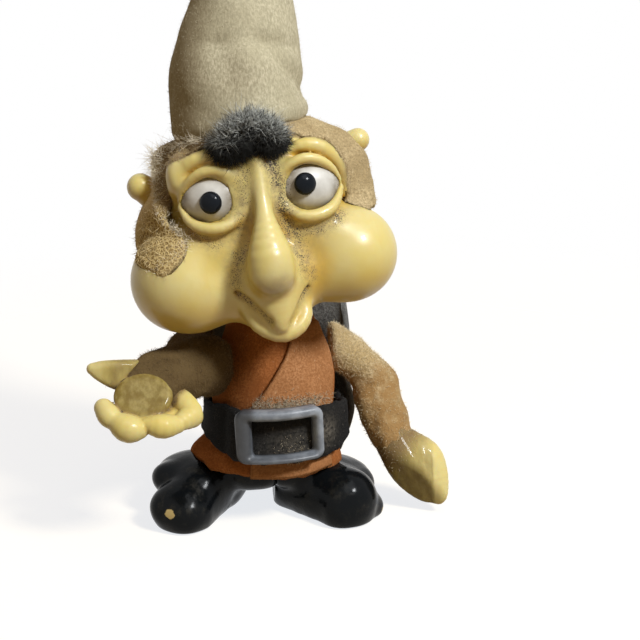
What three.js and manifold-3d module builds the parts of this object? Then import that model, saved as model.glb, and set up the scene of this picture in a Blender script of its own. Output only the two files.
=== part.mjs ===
// A nodding gnome figurine: a moulded head that bobs on a coil spring, over a cast body in felt clothes.
// Millimetres, +Z up, the face towards -Y. Left and right are the gnome's own.
import * as THREE from 'three';
import { mergeVertices } from 'three/addons/utils/BufferGeometryUtils.js';
import Module from 'manifold-3d';

const wasm = await Module();
wasm.setup();

const vec = (x, y, z) => new THREE.Vector3(x, y, z);
const radians = THREE.MathUtils.degToRad;
const lerp = THREE.MathUtils.lerp;

// Fits and felt
const SEAT = 0.3;
const FELT = 0.9;
const BELT_FELT = 1.0;
const WELD = 0.0001;
const ROOM = 60;

// Body, a round core that the clothes hang on
const BODY_BACK = -1.5;
const BODY_DEPTH = 1.05;
const CORE_BOTTOM = 9.0;
const HEM_Z = 8.4;
const SKIRT_R = 8.8;
const BELLY_Z = 14;
const BELLY_R = 7.9;
const WAIST_Z = 19;
const WAIST_R = 7.6;
const CHEST_Z = 24;
const CHEST_R = 6.7;
const COLLAR_Z = 28;
const COLLAR_R = 5.4;
const CORE_TOP = 30.6;
const CORE_TOP_R = 4.4;
const BODY_SIDES = 24;

// Clothes
const TUNIC_TOP = 29.8;
const SKIRT_FOLD = 0.7;
const SKIRT_FOLDS = 7;
const FLAP_TOP = 29.4;
const FLAP_NECK = -66;
const FLAP_EDGE = -33;
const FLAP_CROSSING = -112;
const BELT_Z = 14.3;
const BELT_WIDTH = 7.8;
const BUCKLE_Z = 15.4;
const BUCKLE_WIDTH = 11.7;
const BUCKLE_HEIGHT = 7.8;
const BUCKLE_THICK = 1.7;
const BUCKLE_BEVEL = 0.7;
const BUCKLE_CROWN = 0.3;
const BUCKLE_CORNER = 1.3;
const BUCKLE_INNER_CORNER = 0.5;
const BUCKLE_RIGHT_BAR = 2.3;
const BUCKLE_LEFT_BAR = 1.7;
const BUCKLE_TOP_BAR = 1.9;
const BUCKLE_BOTTOM_BAR = 1.4;
const CAPE_TOP = 31.0;
const CAPE_BOTTOM = 5.2;
const CAPE_RIGHT_TOP = 14.6;
const CAPE_LEFT_TOP = 10.6;
const CAPE_MIDDLE = 11.8;
const CAPE_BOTTOM_HALF = 9.8;
const CAPE_SIDE_Y = 4.4;
const CAPE_WRAP = 86;
const CAPE_FLARE = 1.6;
const CAPE_FOLD = 1.3;
const CAPE_FOLDS = 5;

// Boots
const ANKLE_X = 4.9;
const ANKLE_R = 3.4;
const ANKLE_Z = 5.4;
const BOOT_TOP_R = 4.2;
const BOOT_TOP = 10.4;
const HEEL_R = 4.4;
const HEEL_Z = 3.4;
const TOE_R = 4.9;
const TOE_Z = 3.1;
const LEG_PEG_R = 2.0;
const LEG_PEG_LENGTH = 4.0;

// Arms
const SHOULDER_Z = 25.2;
const SHOULDER_Y = -0.5;
const SLEEVE_TOP_R = 3.6;
const SHOULDER_PEG_R = 1.7;
const SHOULDER_PEG_LENGTH = 4.4;
const WRIST_PEG_R = 1.5;
const WRIST_PEG_LENGTH = 2.6;

// Neck, a bent coil spring held in a plug below and in a cup above
const SPRING_R = 2.4;
const SPRING_WIRE = 0.62;
const SPRING_HALF = 5.0;
const SPRING_TURNS = 6;
const NECK_RISE = 2.9;
const PIVOT_Z = CORE_TOP + NECK_RISE;
const PLUG_R = 3.5;
const PLUG_FLANGE_R = 4.0;
const PLUG_FLANGE = 0.6;
const PLUG_FLOOR = 1.4;
const CUP_R = 3.6;
const CUP_FLANGE_R = 4.7;
const CUP_FLANGE = 0.8;
const CUP_RING_R = 4.3;
const CUP_RING = 0.9;
const CUP_ROOF = 1.1;

// Head: tilted on its spring, set forward of and above the pivot
const HEAD_ROLL = -10.5;
const HEAD_PITCH = 6;
const HEAD_FORWARD = 5.5;
const HEAD_RISE = 9.4;
const HEAD_FLOOR = 1.5;
const NECK_SEAT = -8.1;
const HEAD_SIDES = 40;
const HEAD_RINGS = 32;
const HEAD_CROWD = 1.25;
const SKULL_Z = 4.0;
const SKULL_WIDE = 12.6;
const SKULL_DEEP = 12.3;
const SKULL_HIGH = 13.2;
const FOREHEAD = vec(0, -3, 7.6);
const FOREHEAD_RADII = vec(10.8, 9.4, 8.8);
const RIGHT_CHEEK = vec(-11.8, -6.5, -4.0);
const RIGHT_CHEEK_R = 7.1;
const LEFT_CHEEK = vec(11.2, -6.3, -4.9);
const LEFT_CHEEK_R = 6.6;
const JAW_END = vec(9.6, -7.2, -6.2);
const JAW_R = 4.2;
const FACE_TILT = 3.9;
const FACE_SHIFT = 0.4;
const NOSE = [
  { at: vec(0, -12.2, 10.4), r: 0.7 }, { at: vec(0, -13.3, 5.1), r: 1.1 },
  { at: vec(0, -14.8, 0.4), r: 2.35 }, { at: vec(0, -15.5, -2.2), r: 2.85 },
  { at: vec(0, -15.8, -4.2), r: 2.7 },
];
const NOSE_HEART = vec(0, -14.7, -0.4);
const UPPER_LIP = [
  { at: vec(0, -11.0, -5.2), r: 4.4 }, { at: vec(0.1, -12.2, -8.0), r: 3.2 },
  { at: vec(0.3, -13.2, -10.3), r: 1.9 }, { at: vec(0.4, -13.8, -11.5), r: 1.0 },
];
const CHIN = vec(0, -8.6, -9.4);
const CHIN_R = 4.2;
const LOWER_LIP_R = 1.1;
const EAR_ROOT_X = 10;
const EAR_X = 15.3;
const EAR_Y = 1.0;
const EAR_Z = 9.3;
const EAR_R = 1.75;
const BROW_R = 1.2;
const EYE_X = 6.55;
const EYE_Y = -9.7;
const EYE_Z = 6.05;
const EYE_TURN = 16;
const EYE_WIDE = 4.3;
const EYE_HIGH = 3.4;
const EYE_BULGE = 2.9;
const EYE_DEPTH = 0.7;
const LID_START = 15;
const LID_R = 0.85;
const LID_OUT = 1.9;
const BAG_R = 1.0;
const BAG_OUT = 2.3;
const PUPIL_R = 1.5;
const PUPIL_FLATNESS = 0.7;
const PUPILS = { right: { across: 0.65, up: -0.3 }, left: { across: -1.5, up: 0.55 } };

// Hair and hat
const HAIR = 0.9;
const HAIR_LOW = -0.6;
const HAIR_WIDE = 16.8;
const HAIR_DEEP = 13.6;
const HAIR_BULGE_Z = 6.5;
const HAIR_RIGHT_LOBE = 128;
const HAIR_RIGHT_FRONT = 110;
const HAIR_LOBE_Z = 2.6;
const HAIR_LEFT_FRONT = 118;
const HAT_LINE = 14.6;
const HAT_FIT = 0.6;
const HAT_HEIGHT = 40.4;
const HAT_LEAN = 12.2;
const HAT_BEND = 0.6;
const HAT_BACK = 2.9;
const HAT_TIP_R = 1.5;
const HAT_SHOULDER = 15.5;
const HAT_SHOULDER_TAPER = 2.0;
const HAT_BEND_R = 3.1;
const HAT_STRAIGHT = 0.6;
const HAT_BEND_SHARE = 0.7;
const HAT_CREASE = 0.35;
const HAT_CREASES = 5;
const HAT_SIDES = 20;
const HAT_RINGS = 11;
const FORELOCK = vec(0.6, -10.6, 13.4);
const FORELOCK_RADII = vec(6.8, 3.4, 3.5);

// Materials
function finish(color, roughness, metalness = 0) {
  return new THREE.MeshStandardMaterial({ color, roughness, metalness });
}

const skinPlastic = finish(0xd9c283, 0.35);
const bodyPlastic = finish(0xcdb676, 0.5);
const rustFelt = finish(0xb4572a, 0.95);
const blackFelt = finish(0x1d1d1f, 0.95);
const greyFelt = finish(0x39393c, 0.95);
const khakiFelt = finish(0xa8967a, 0.95);
const wadding = finish(0xe6e0d2, 1);
const brownFlock = finish(0x6b4a2b, 1);
const furBlack = finish(0x141414, 0.9);
const bootPaint = finish(0x141311, 0.25);
const bucklePlastic = finish(0x7f8890, 0.4);
const eyePaint = finish(0xd8d6cb, 0.3);
const pupilPaint = finish(0x0a0a0a, 0.15);
const springSteel = finish(0x9a9a98, 0.35, 1);
const whitePlastic = finish(0xd8d4c6, 0.5);

// Joining and cutting
function solid(geometry) {
  const bare = geometry.clone();
  bare.deleteAttribute('normal');
  bare.deleteAttribute('uv');
  const merged = mergeVertices(bare, WELD);
  const index = merged.index.array;
  const kept = [];
  for (let i = 0; i < index.length; i += 3) {
    const [a, b, c] = [index[i], index[i + 1], index[i + 2]];
    if (a !== b && b !== c && c !== a) kept.push(a, b, c);
  }
  const vertProperties = new Float32Array(merged.attributes.position.array);
  return new wasm.Manifold(new wasm.Mesh({ numProp: 3, vertProperties, triVerts: new Uint32Array(kept) }));
}

function mesh(name, body, material) {
  const { vertProperties, triVerts } = body.getMesh();
  const geometry = new THREE.BufferGeometry();
  geometry.setAttribute('position', new THREE.BufferAttribute(new Float32Array(vertProperties), 3));
  geometry.setIndex(new THREE.BufferAttribute(new Uint32Array(triVerts), 1));
  geometry.computeVertexNormals();
  const piece = new THREE.Mesh(geometry, material);
  piece.name = name;
  return piece;
}

// A box from its two corners
function block(low, high) {
  const size = high.clone().sub(low);
  const middle = low.clone().add(high).multiplyScalar(0.5);
  return solid(new THREE.BoxGeometry(size.x, size.y, size.z).translate(middle.x, middle.y, middle.z));
}

// A round bar from one point to another
function bar(from, to, radius, sides = 16) {
  const along = to.clone().sub(from);
  const turn = new THREE.Quaternion().setFromUnitVectors(vec(0, 1, 0), along.clone().normalize());
  const middle = from.clone().add(to).multiplyScalar(0.5);
  const geometry = new THREE.CylinderGeometry(radius, radius, along.length(), sides);
  return solid(geometry.applyQuaternion(turn).translate(middle.x, middle.y, middle.z));
}

// A turned piece about an upright axis, from [radius, height] pairs that start and end on the axis
function turned(profile, sides = 20) {
  const points = profile.map(([radius, height]) => new THREE.Vector2(radius, height));
  return solid(new THREE.LatheGeometry(points, sides).rotateX(Math.PI / 2));
}

// A round rod along a smooth curve through the points, with ball ends
function rod(points, radius, steps = 6, sides = 6) {
  const CAP_SWELL = 1.02;
  const path = new THREE.CatmullRomCurve3(points);
  const section = new THREE.Shape().absarc(0, 0, radius, 0, 2 * Math.PI, false);
  const options = { steps, bevelEnabled: false, extrudePath: path, curveSegments: sides / 2 };
  let body = solid(new THREE.ExtrudeGeometry(section, options));
  for (const end of [points[0], points[points.length - 1]]) {
    const cap = new THREE.SphereGeometry(radius * CAP_SWELL, sides, sides / 2 + 1);
    body = body.add(solid(cap.translate(end.x, end.y, end.z)));
  }
  return body;
}

// A closed slab between two sheets of points; wrapped closes it round on itself
function slab(outer, inner, across, along, wrapped = false) {
  const columns = wrapped ? across : across + 1;
  const positions = [];
  for (const side of [outer, inner]) {
    for (let j = 0; j <= along; j += 1) {
      for (let i = 0; i < columns; i += 1) positions.push(...side(i / across, j / along).toArray());
    }
  }
  const at = (side, i, j) => side * columns * (along + 1) + j * columns + (i % columns);
  const faces = [];
  const quad = (a, b, c, d) => faces.push(a, b, c, a, c, d);
  for (let i = 0; i < across; i += 1) {
    for (let j = 0; j < along; j += 1) {
      quad(at(0, i, j), at(0, i + 1, j), at(0, i + 1, j + 1), at(0, i, j + 1));
      quad(at(1, i, j + 1), at(1, i + 1, j + 1), at(1, i + 1, j), at(1, i, j));
    }
    quad(at(1, i, 0), at(1, i + 1, 0), at(0, i + 1, 0), at(0, i, 0));
    quad(at(0, i, along), at(0, i + 1, along), at(1, i + 1, along), at(1, i, along));
  }
  for (let j = 0; j < along && !wrapped; j += 1) {
    quad(at(0, 0, j), at(0, 0, j + 1), at(1, 0, j + 1), at(1, 0, j));
    quad(at(1, across, j), at(1, across, j + 1), at(0, across, j + 1), at(0, across, j));
  }
  return closed(positions, faces);
}

// A ring-like surface, closed both ways
function ring(surface, around, section) {
  const positions = [];
  for (let i = 0; i < around; i += 1) {
    for (let j = 0; j < section; j += 1) positions.push(...surface(i / around, j / section).toArray());
  }
  const at = (i, j) => (i % around) * section + (j % section);
  const faces = [];
  for (let i = 0; i < around; i += 1) {
    for (let j = 0; j < section; j += 1) {
      faces.push(at(i, j), at(i + 1, j), at(i + 1, j + 1), at(i, j), at(i + 1, j + 1), at(i, j + 1));
    }
  }
  return closed(positions, faces);
}

// A body from points and faces, turned so that the faces point outwards
function closed(positions, faces) {
  const geometry = new THREE.BufferGeometry();
  geometry.setAttribute('position', new THREE.BufferAttribute(new Float32Array(positions), 3));
  const corner = (k) => vec(...positions.slice(3 * faces[k], 3 * faces[k] + 3));
  let volume = 0;
  for (let k = 0; k < faces.length; k += 3) volume += corner(k).dot(corner(k + 1).cross(corner(k + 2)));
  geometry.setIndex(volume < 0 ? faces.slice().reverse() : faces);
  return solid(geometry);
}

// Distance fields, negative inside, for the moulded forms
const ball = (centre, radius) => (p) => p.distanceTo(centre) - radius;

const ellipsoid = (centre, radii) => (p) => {
  const local = p.clone().sub(centre).divide(radii);
  const length = local.length();
  return (length * (length - 1)) / Math.max(local.divide(radii).length(), 1e-6);
};

const taper = (from, fromRadius, to, toRadius) => {
  const axis = to.clone().sub(from);
  return (p) => {
    const share = THREE.MathUtils.clamp(p.clone().sub(from).dot(axis) / axis.lengthSq(), 0, 1);
    return p.distanceTo(from.clone().lerp(to, share)) - lerp(fromRadius, toRadius, share);
  };
};

const blend = (softness, ...fields) => (p) => fields.map((field) => field(p)).reduce((a, b) => {
  const share = Math.max(softness - Math.abs(a - b), 0) / softness;
  return Math.min(a, b) - (share * share * softness) / 4;
});

// How far out along a direction the skin of a field lies
function reach(field, origin, direction) {
  const NEAR_ENOUGH = 0.002;
  const CAUTION = 0.7;
  let distance = ROOM;
  for (let step = 0; step < 200 && distance > 0; step += 1) {
    const away = field(origin.clone().addScaledVector(direction, distance));
    if (away < NEAR_ENOUGH) break;
    distance -= away * CAUTION;
  }
  return distance;
}

// A ball whose points are drawn out to the skin of a field; crowd above 1 gathers them towards -Y
function blob(field, centre, segments, rings, crowd = 1) {
  const geometry = new THREE.SphereGeometry(1, segments, rings);
  const place = geometry.attributes.position;
  for (let i = 0; i < place.count; i += 1) {
    const unit = vec(place.getX(i), place.getY(i), place.getZ(i)).normalize();
    const polar = Math.acos(THREE.MathUtils.clamp(-unit.y, -1, 1));
    const drawn = Math.PI * (polar / Math.PI) ** crowd;
    const side = Math.hypot(unit.x, unit.z);
    const flat = side < 1e-6 ? 0 : Math.sin(drawn) / side;
    const direction = vec(unit.x * flat, -Math.cos(drawn), unit.z * flat);
    const skin = centre.clone().addScaledVector(direction, reach(field, centre, direction));
    place.setXYZ(i, skin.x, skin.y, skin.z);
  }
  return solid(geometry);
}

// A smooth height profile through stations of [height, value]
function stations(list) {
  const tangent = list.map((_, i) => {
    const [low, high] = [list[Math.max(i - 1, 0)], list[Math.min(i + 1, list.length - 1)]];
    return (high[1] - low[1]) / (high[0] - low[0]);
  });
  return (height) => {
    let i = 0;
    while (i < list.length - 2 && height > list[i + 1][0]) i += 1;
    const span = list[i + 1][0] - list[i][0];
    const t = THREE.MathUtils.clamp((height - list[i][0]) / span, 0, 1);
    const rise = t * t * (3 - 2 * t);
    const start = t * (1 - t) * (1 - t) * span * tangent[i];
    const finishing = t * t * (t - 1) * span * tangent[i + 1];
    return lerp(list[i][1], list[i + 1][1], rise) + start + finishing;
  };
}

// The body's girth, and a point that stands out from its skin by a given thickness
const girth = stations([
  [HEM_Z, SKIRT_R], [BELLY_Z, BELLY_R], [WAIST_Z, WAIST_R],
  [CHEST_Z, CHEST_R], [COLLAR_Z, COLLAR_R], [CORE_TOP, CORE_TOP_R],
]);

function bodyPoint(angle, height, out) {
  const STEP = 0.05;
  const slope = (girth(height + STEP) - girth(height - STEP)) / (2 * STEP);
  const level = 1 / Math.hypot(1, slope);
  const radius = girth(height);
  const x = (radius + out * level) * Math.cos(angle);
  const y = BODY_BACK + (radius * BODY_DEPTH + out * level) * Math.sin(angle);
  return vec(x, y, height - out * slope * level);
}

// How far each layer of clothing stands out from the body
const tunicIn = SEAT;
const tunicOut = tunicIn + FELT;
const flapIn = tunicOut + SEAT;
const flapOut = flapIn + FELT;

// The flap lies between these two edges, in radians round the body, at a given height
const flapLow = HEM_Z + SEAT;
const beltTop = BELT_Z + BELT_WIDTH / 2;
const beltBottom = BELT_Z - BELT_WIDTH / 2;
const flapRight = radians(FLAP_EDGE);
function flapLeft(height) {
  const share = THREE.MathUtils.clamp((height - beltTop) / (FLAP_TOP - beltTop), 0, 1);
  return radians(lerp(FLAP_CROSSING, FLAP_NECK, share));
}

// The skirt swings free below the belt, fully at the hem
const hang = (height) => THREE.MathUtils.clamp((beltBottom - height) / (beltBottom - HEM_Z), 0, 1);

// The belt rides out over the flap, easing in and out beside it
function beltIn(angle) {
  const EASE = radians(16);
  const turn = Math.atan2(Math.sin(angle), Math.cos(angle));
  const beside = Math.max(radians(FLAP_CROSSING) - turn, turn - flapRight, 0);
  const share = 1 - THREE.MathUtils.smoothstep(beside, EASE / 2, EASE * 1.5);
  return lerp(tunicOut, flapOut, share) + SEAT;
}
const beltOut = (angle) => beltIn(angle) + BELT_FELT;

const figure = new THREE.Group();

// Shoulder pegs stand out to the discs where the sleeves begin
const discX = girth(SHOULDER_Z - SLEEVE_TOP_R) + tunicOut + SEAT;
const shoulder = (side) => vec(side * discX, SHOULDER_Y, SHOULDER_Z);
const armhole = (side) => {
  const inside = shoulder(side).setX(side * (girth(SHOULDER_Z) - SHOULDER_PEG_LENGTH / 2));
  const outside = shoulder(side).setX(side * (discX + SLEEVE_TOP_R * 2));
  return bar(inside, outside, SLEEVE_TOP_R + SEAT);
};
const ankle = (side) => vec(side * ANKLE_X, BODY_BACK, CORE_BOTTOM - SEAT);

// Neck plug: a flanged bush in the top of the body, with a socket for the spring
const springSocketR = SPRING_R + SEAT;
const springFoot = PIVOT_Z - SPRING_HALF;
const plugBottom = springFoot - SEAT - PLUG_FLOOR;
const plugTop = CORE_TOP + SEAT + PLUG_FLANGE;

function makeTorso() {
  const RINGS = 8;
  const profile = [[0, CORE_BOTTOM]];
  for (let i = 0; i <= RINGS; i += 1) {
    const height = lerp(CORE_BOTTOM, CORE_TOP, i / RINGS);
    profile.push([girth(height), height]);
  }
  profile.push([0, CORE_TOP]);
  const points = profile.map(([radius, height]) => new THREE.Vector2(radius, height));
  const round = new THREE.LatheGeometry(points, BODY_SIDES).rotateX(Math.PI / 2);
  let body = solid(round.scale(1, BODY_DEPTH, 1).translate(0, BODY_BACK, 0));
  const neckFloor = vec(0, BODY_BACK, plugBottom - SEAT);
  body = body.subtract(bar(neckFloor, vec(0, BODY_BACK, CORE_TOP + 1), PLUG_R + SEAT));
  for (const side of [-1, 1]) {
    const deep = shoulder(side).setX(side * (discX - SHOULDER_PEG_LENGTH - SEAT));
    body = body.subtract(bar(deep, shoulder(side), SHOULDER_PEG_R + SEAT));
    const peg = ankle(side);
    const end = peg.clone().setZ(peg.z + LEG_PEG_LENGTH + SEAT);
    body = body.subtract(bar(peg.setZ(peg.z - 1), end, LEG_PEG_R + SEAT));
  }
  return body;
}

function makePlug() {
  const body = turned([
    [0, plugBottom], [PLUG_R, plugBottom], [PLUG_R, CORE_TOP + SEAT], [PLUG_FLANGE_R, CORE_TOP + SEAT],
    [PLUG_FLANGE_R, plugTop], [springSocketR, plugTop], [springSocketR, springFoot - SEAT],
    [0, springFoot - SEAT],
  ]);
  return body.translate([0, BODY_BACK, 0]);
}

function makeTunic() {
  const RINGS = 8;
  const skin = (out) => (u, v) => {
    const angle = 2 * Math.PI * u;
    const height = lerp(HEM_Z, TUNIC_TOP, v);
    const fold = SKIRT_FOLD * hang(height) * (1 - Math.cos(SKIRT_FOLDS * angle)) / 2;
    return bodyPoint(angle, height, out + fold);
  };
  let body = slab(skin(tunicOut), skin(tunicIn), BODY_SIDES, RINGS, true);
  for (const side of [-1, 1]) body = body.subtract(armhole(side));
  return body;
}

function makeFlap() {
  const ACROSS = 6;
  const RINGS = 9;
  const skin = (out) => (u, v) => {
    const height = lerp(flapLow, FLAP_TOP, v);
    const angle = lerp(flapLeft(height), flapRight, u);
    return bodyPoint(angle, height, out + SKIRT_FOLD * hang(height));
  };
  return slab(skin(flapOut), skin(flapIn), ACROSS, RINGS).subtract(armhole(1));
}

function makeBelt() {
  const RINGS = 4;
  const skin = (thickness) => (u, v) => {
    const angle = 2 * Math.PI * u;
    const height = BELT_Z + BELT_WIDTH * (v - 0.5);
    return bodyPoint(angle, height, thickness(angle));
  };
  return slab(skin(beltOut), skin(beltIn), BODY_SIDES + 6, RINGS, true);
}

// Points round a rectangle with round corners, each quarter a corner and then a straight side
function roundedRectangle(left, right, bottom, top, corner) {
  const hearts = [
    new THREE.Vector2(right - corner, top - corner), new THREE.Vector2(left + corner, top - corner),
    new THREE.Vector2(left + corner, bottom + corner), new THREE.Vector2(right - corner, bottom + corner),
  ];
  const onCorner = (quarter, turn) => {
    const angle = (quarter + turn) * Math.PI / 2;
    const spoke = new THREE.Vector2(Math.cos(angle), Math.sin(angle)).multiplyScalar(corner);
    return spoke.add(hearts[quarter % 4]);
  };
  return (u) => {
    const quarter = Math.floor(4 * u) % 4;
    const share = 2 * (4 * u - Math.floor(4 * u));
    if (share <= 1) return onCorner(quarter, share);
    return onCorner(quarter, 1).lerp(onCorner(quarter + 1, 0), share - 1);
  };
}

// Buckle: a bevelled frame, its bars of unlike widths, bent round the belly in front of the belt
function makeBuckle() {
  const AROUND = 48;
  const front = radians(-90);
  const heights = [beltBottom, BELT_Z, beltTop];
  const radius = Math.max(...heights.map((z) => BODY_BACK - bodyPoint(front, z, beltOut(front)).y));
  const [wide, high] = [BUCKLE_WIDTH / 2, BUCKLE_HEIGHT / 2];
  const outer = roundedRectangle(-wide, wide, -high, high, BUCKLE_CORNER);
  const inner = roundedRectangle(
    BUCKLE_RIGHT_BAR - wide, wide - BUCKLE_LEFT_BAR, BUCKLE_BOTTOM_BAR - high, high - BUCKLE_TOP_BAR,
    BUCKLE_INNER_CORNER,
  );
  const section = [
    [0, 0], [0, BUCKLE_THICK - BUCKLE_BEVEL], [BUCKLE_CROWN, BUCKLE_THICK],
    [1 - BUCKLE_CROWN, BUCKLE_THICK], [1, BUCKLE_THICK - BUCKLE_BEVEL], [1, 0],
  ];
  const surface = (u, v) => {
    const [across, raise] = section[Math.round(v * section.length) % section.length];
    const place = outer(u).lerp(inner(u), across);
    const out = radius + SEAT + raise;
    const angle = front + place.x / radius;
    return vec(out * Math.cos(angle), BODY_BACK + out * Math.sin(angle), BUCKLE_Z + place.y);
  };
  return ring(surface, AROUND, section.length);
}

// Cape: a stiff sheet that hangs from the back of the neck, clear of the belt, with its folds below
function makeCape() {
  const ACROSS = 20;
  const RINGS = 7;
  const back = radians(90);
  const beltBack = bodyPoint(back, BELLY_Z, beltOut(back) + SEAT).y;
  const nape = Math.max(bodyPoint(back, TUNIC_TOP, tunicOut + SEAT).y, CAPE_SIDE_Y);
  const spine = stations([
    [CAPE_BOTTOM, beltBack + CAPE_FLARE], [beltTop, beltBack + SEAT],
    [TUNIC_TOP, nape], [CAPE_TOP, nape],
  ]);
  const edge = (top) => stations([[CAPE_BOTTOM, CAPE_BOTTOM_HALF], [beltTop, CAPE_MIDDLE], [CAPE_TOP, top]]);
  const [left, right] = [edge(CAPE_LEFT_TOP), edge(CAPE_RIGHT_TOP)];
  const skin = (out) => (u, v) => {
    const bend = radians(lerp(-CAPE_WRAP, CAPE_WRAP, u));
    const height = lerp(CAPE_BOTTOM, CAPE_TOP, v);
    const fold = CAPE_FOLD * (1 - v) * (1 - Math.cos(2 * Math.PI * CAPE_FOLDS * u)) / 2;
    const deep = spine(height) - CAPE_SIDE_Y + fold + out;
    const half = lerp(right(height), left(height), u) + out;
    return vec(half * Math.sin(bend), CAPE_SIDE_Y + deep * Math.cos(bend), height);
  };
  return slab(skin(FELT), skin(0), ACROSS, RINGS);
}

// Boots: soft lumpy forms splayed outwards, flat on the ground, each with a peg up into the body
const BOOTS = {
  right: {
    side: -1, heel: vec(-8.4, -0.4, HEEL_Z), toe: vec(-13.5, -8.3, TOE_Z),
    cuff: vec(-11.6, -3.0, 5.4), cuffRadii: vec(6.2, 5.2, 3.7),
  },
  left: {
    side: 1, heel: vec(3.6, -2.0, HEEL_Z), toe: vec(10.4, -9.0, TOE_Z),
    cuff: vec(8.6, -2.8, 4.4), cuffRadii: vec(5.9, 5.0, 3.0),
  },
};
const BOOT_SOFTNESS = 1.6;
const INSTEP = 0.45;

// The room that the skirt and the flap take up above the boots
function skirtRoom() {
  const out = flapOut + SKIRT_FOLD + SEAT;
  const low = HEM_Z - SEAT;
  const room = turned([[0, low], [SKIRT_R + out, low], [SKIRT_R + out, BOOT_TOP], [0, BOOT_TOP]], BODY_SIDES);
  return room.scale([1, BODY_DEPTH, 1]).translate([0, BODY_BACK, 0]);
}

function makeBoot({ side, heel, toe, cuff, cuffRadii }) {
  const top = ankle(side);
  const below = top.clone().setZ(ANKLE_Z);
  const shaft = taper(heel, HEEL_R, top, BOOT_TOP_R);
  const foot = taper(heel, HEEL_R, toe, TOE_R);
  const field = blend(BOOT_SOFTNESS, foot, ellipsoid(cuff, cuffRadii), shaft);
  const middle = heel.clone().lerp(toe, INSTEP);
  const near = side * SEAT / 2;
  const far = side * ROOM;
  const own = block(vec(Math.min(near, far), -ROOM, 0), vec(Math.max(near, far), ROOM, BOOT_TOP));
  const form = blob(field, middle, 24, 16).intersect(own).subtract(skirtRoom());
  const leg = bar(below, top.clone().setZ(top.z + LEG_PEG_LENGTH), LEG_PEG_R);
  return form.add(bar(below, top, ANKLE_R)).add(leg);
}

// Arms: flocked sleeves that swivel on a shoulder peg, and hands plugged into their cuffs
const SLEEVES = {
  right: {
    side: -1, upper: vec(-11.4, -4.4, 24.4), upperR: 4.2,
    elbow: vec(-11.1, -9.8, 23.8), elbowR: 4.5, wrist: vec(-15.9, -13.8, 23.4), wristR: 3.9,
  },
  left: {
    side: 1, upper: vec(12.6, -1.0, 21.6), upperR: 3.0,
    elbow: vec(15.6, -1.9, 17.0), elbowR: 3.4, wrist: vec(17.2, -4.2, 11.6), wristR: 2.8,
  },
};

const SLEEVE_SOFTNESS = 0.8;
const CUFF_CUT = 2.5;
const SLEEVE_FREE_Y = -7.6;
const cuffLine = ({ elbow, wrist }) => wrist.clone().sub(elbow).normalize();

function makeSleeve(sleeve) {
  const { side, upper, upperR, elbow, elbowR, wrist, wristR } = sleeve;
  const top = shoulder(side);
  const root = top.clone().setX(top.x - side * SLEEVE_TOP_R / 2);
  const limbs = [
    taper(root, SLEEVE_TOP_R, upper, upperR), taper(upper, upperR, elbow, elbowR),
    taper(elbow, elbowR, wrist, wristR),
  ];
  const field = blend(SLEEVE_SOFTNESS, ...limbs);
  const middle = upper.clone().lerp(elbow, 0.5);
  const line = cuffLine(sleeve);
  const past = wrist.clone().addScaledVector(line, wristR * 2);
  const inner = vec(Math.min(0, side * discX), SLEEVE_FREE_Y, 0);
  const outer = vec(Math.max(0, side * discX), ROOM, ROOM);
  let body = blob(field, middle, 18, 14).subtract(block(inner, outer));
  body = body.subtract(bar(wrist, past, wristR * CUFF_CUT, 8));
  const socket = wrist.clone().addScaledVector(line, -(WRIST_PEG_LENGTH + SEAT));
  body = body.subtract(bar(socket, past, WRIST_PEG_R + SEAT, 14));
  const pegEnd = top.clone().setX(top.x - side * SHOULDER_PEG_LENGTH);
  return body.add(bar(pegEnd, top.clone().setX(top.x + side), SHOULDER_PEG_R, 16));
}

// Right hand: open palm held out, thumb to the side, fingers curled over its front edge
const PALM = vec(-18.0, -18.2, 22.8);
const PALM_RADII = vec(5.4, 4.6, 2.3);
const THUMB_ROOT = vec(-19.2, -16.4, 25.0);
const THUMB_TIP = vec(-24.6, -17.0, 26.3);
const THUMB_ROOT_R = 2.1;
const THUMB_TIP_R = 1.4;
const THUMB_HEART = 0.4;
const HEEL_OF_HAND_R = 2.7;
const HAND_SOFTNESS = 1.0;
const FINGER_R = 1.9;
const FINGERS = [
  vec(-23.4, -20.0, 21.9), vec(-20.7, -21.5, 20.4), vec(-16.6, -21.6, 20.4), vec(-13.6, -20.2, 20.7),
];

function makeRightHand() {
  const { wrist } = SLEEVES.right;
  const thumb = taper(THUMB_ROOT, THUMB_ROOT_R, THUMB_TIP, THUMB_TIP_R);
  const heel = taper(wrist, HEEL_OF_HAND_R, PALM, HEEL_OF_HAND_R);
  const field = blend(HAND_SOFTNESS, ellipsoid(PALM, PALM_RADII), heel);
  const root = THUMB_ROOT.clone().lerp(THUMB_TIP, THUMB_HEART);
  let hand = blob(field, PALM, 20, 12).add(blob(thumb, root, 12, 8));
  for (const tip of FINGERS) hand = hand.add(rod([PALM, tip], FINGER_R, 1, 10));
  return plugIn(hand, SLEEVES.right);
}

// Left hand: hanging, fingers together and pointing down
const KNUCKLE = vec(20.2, -6.9, 6.6);
const KNUCKLE_R = 2.7;
const LEFT_FINGERS = [vec(21.3, -8.7, 3.0), vec(22.6, -8.9, 2.5), vec(23.8, -8.2, 3.2)];
const LEFT_FINGER_R = 1.7;
const LEFT_WRIST_R = 2.4;
const LEFT_THUMB = vec(23.0, -6.2, 7.4);

function makeLeftHand() {
  const { wrist } = SLEEVES.left;
  const palm = taper(wrist, LEFT_WRIST_R, KNUCKLE, KNUCKLE_R);
  let hand = blob(palm, wrist.clone().lerp(KNUCKLE, 0.5), 16, 12);
  for (const tip of [...LEFT_FINGERS, LEFT_THUMB]) hand = hand.add(rod([KNUCKLE, tip], LEFT_FINGER_R, 1, 10));
  return plugIn(hand, SLEEVES.left);
}

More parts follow.
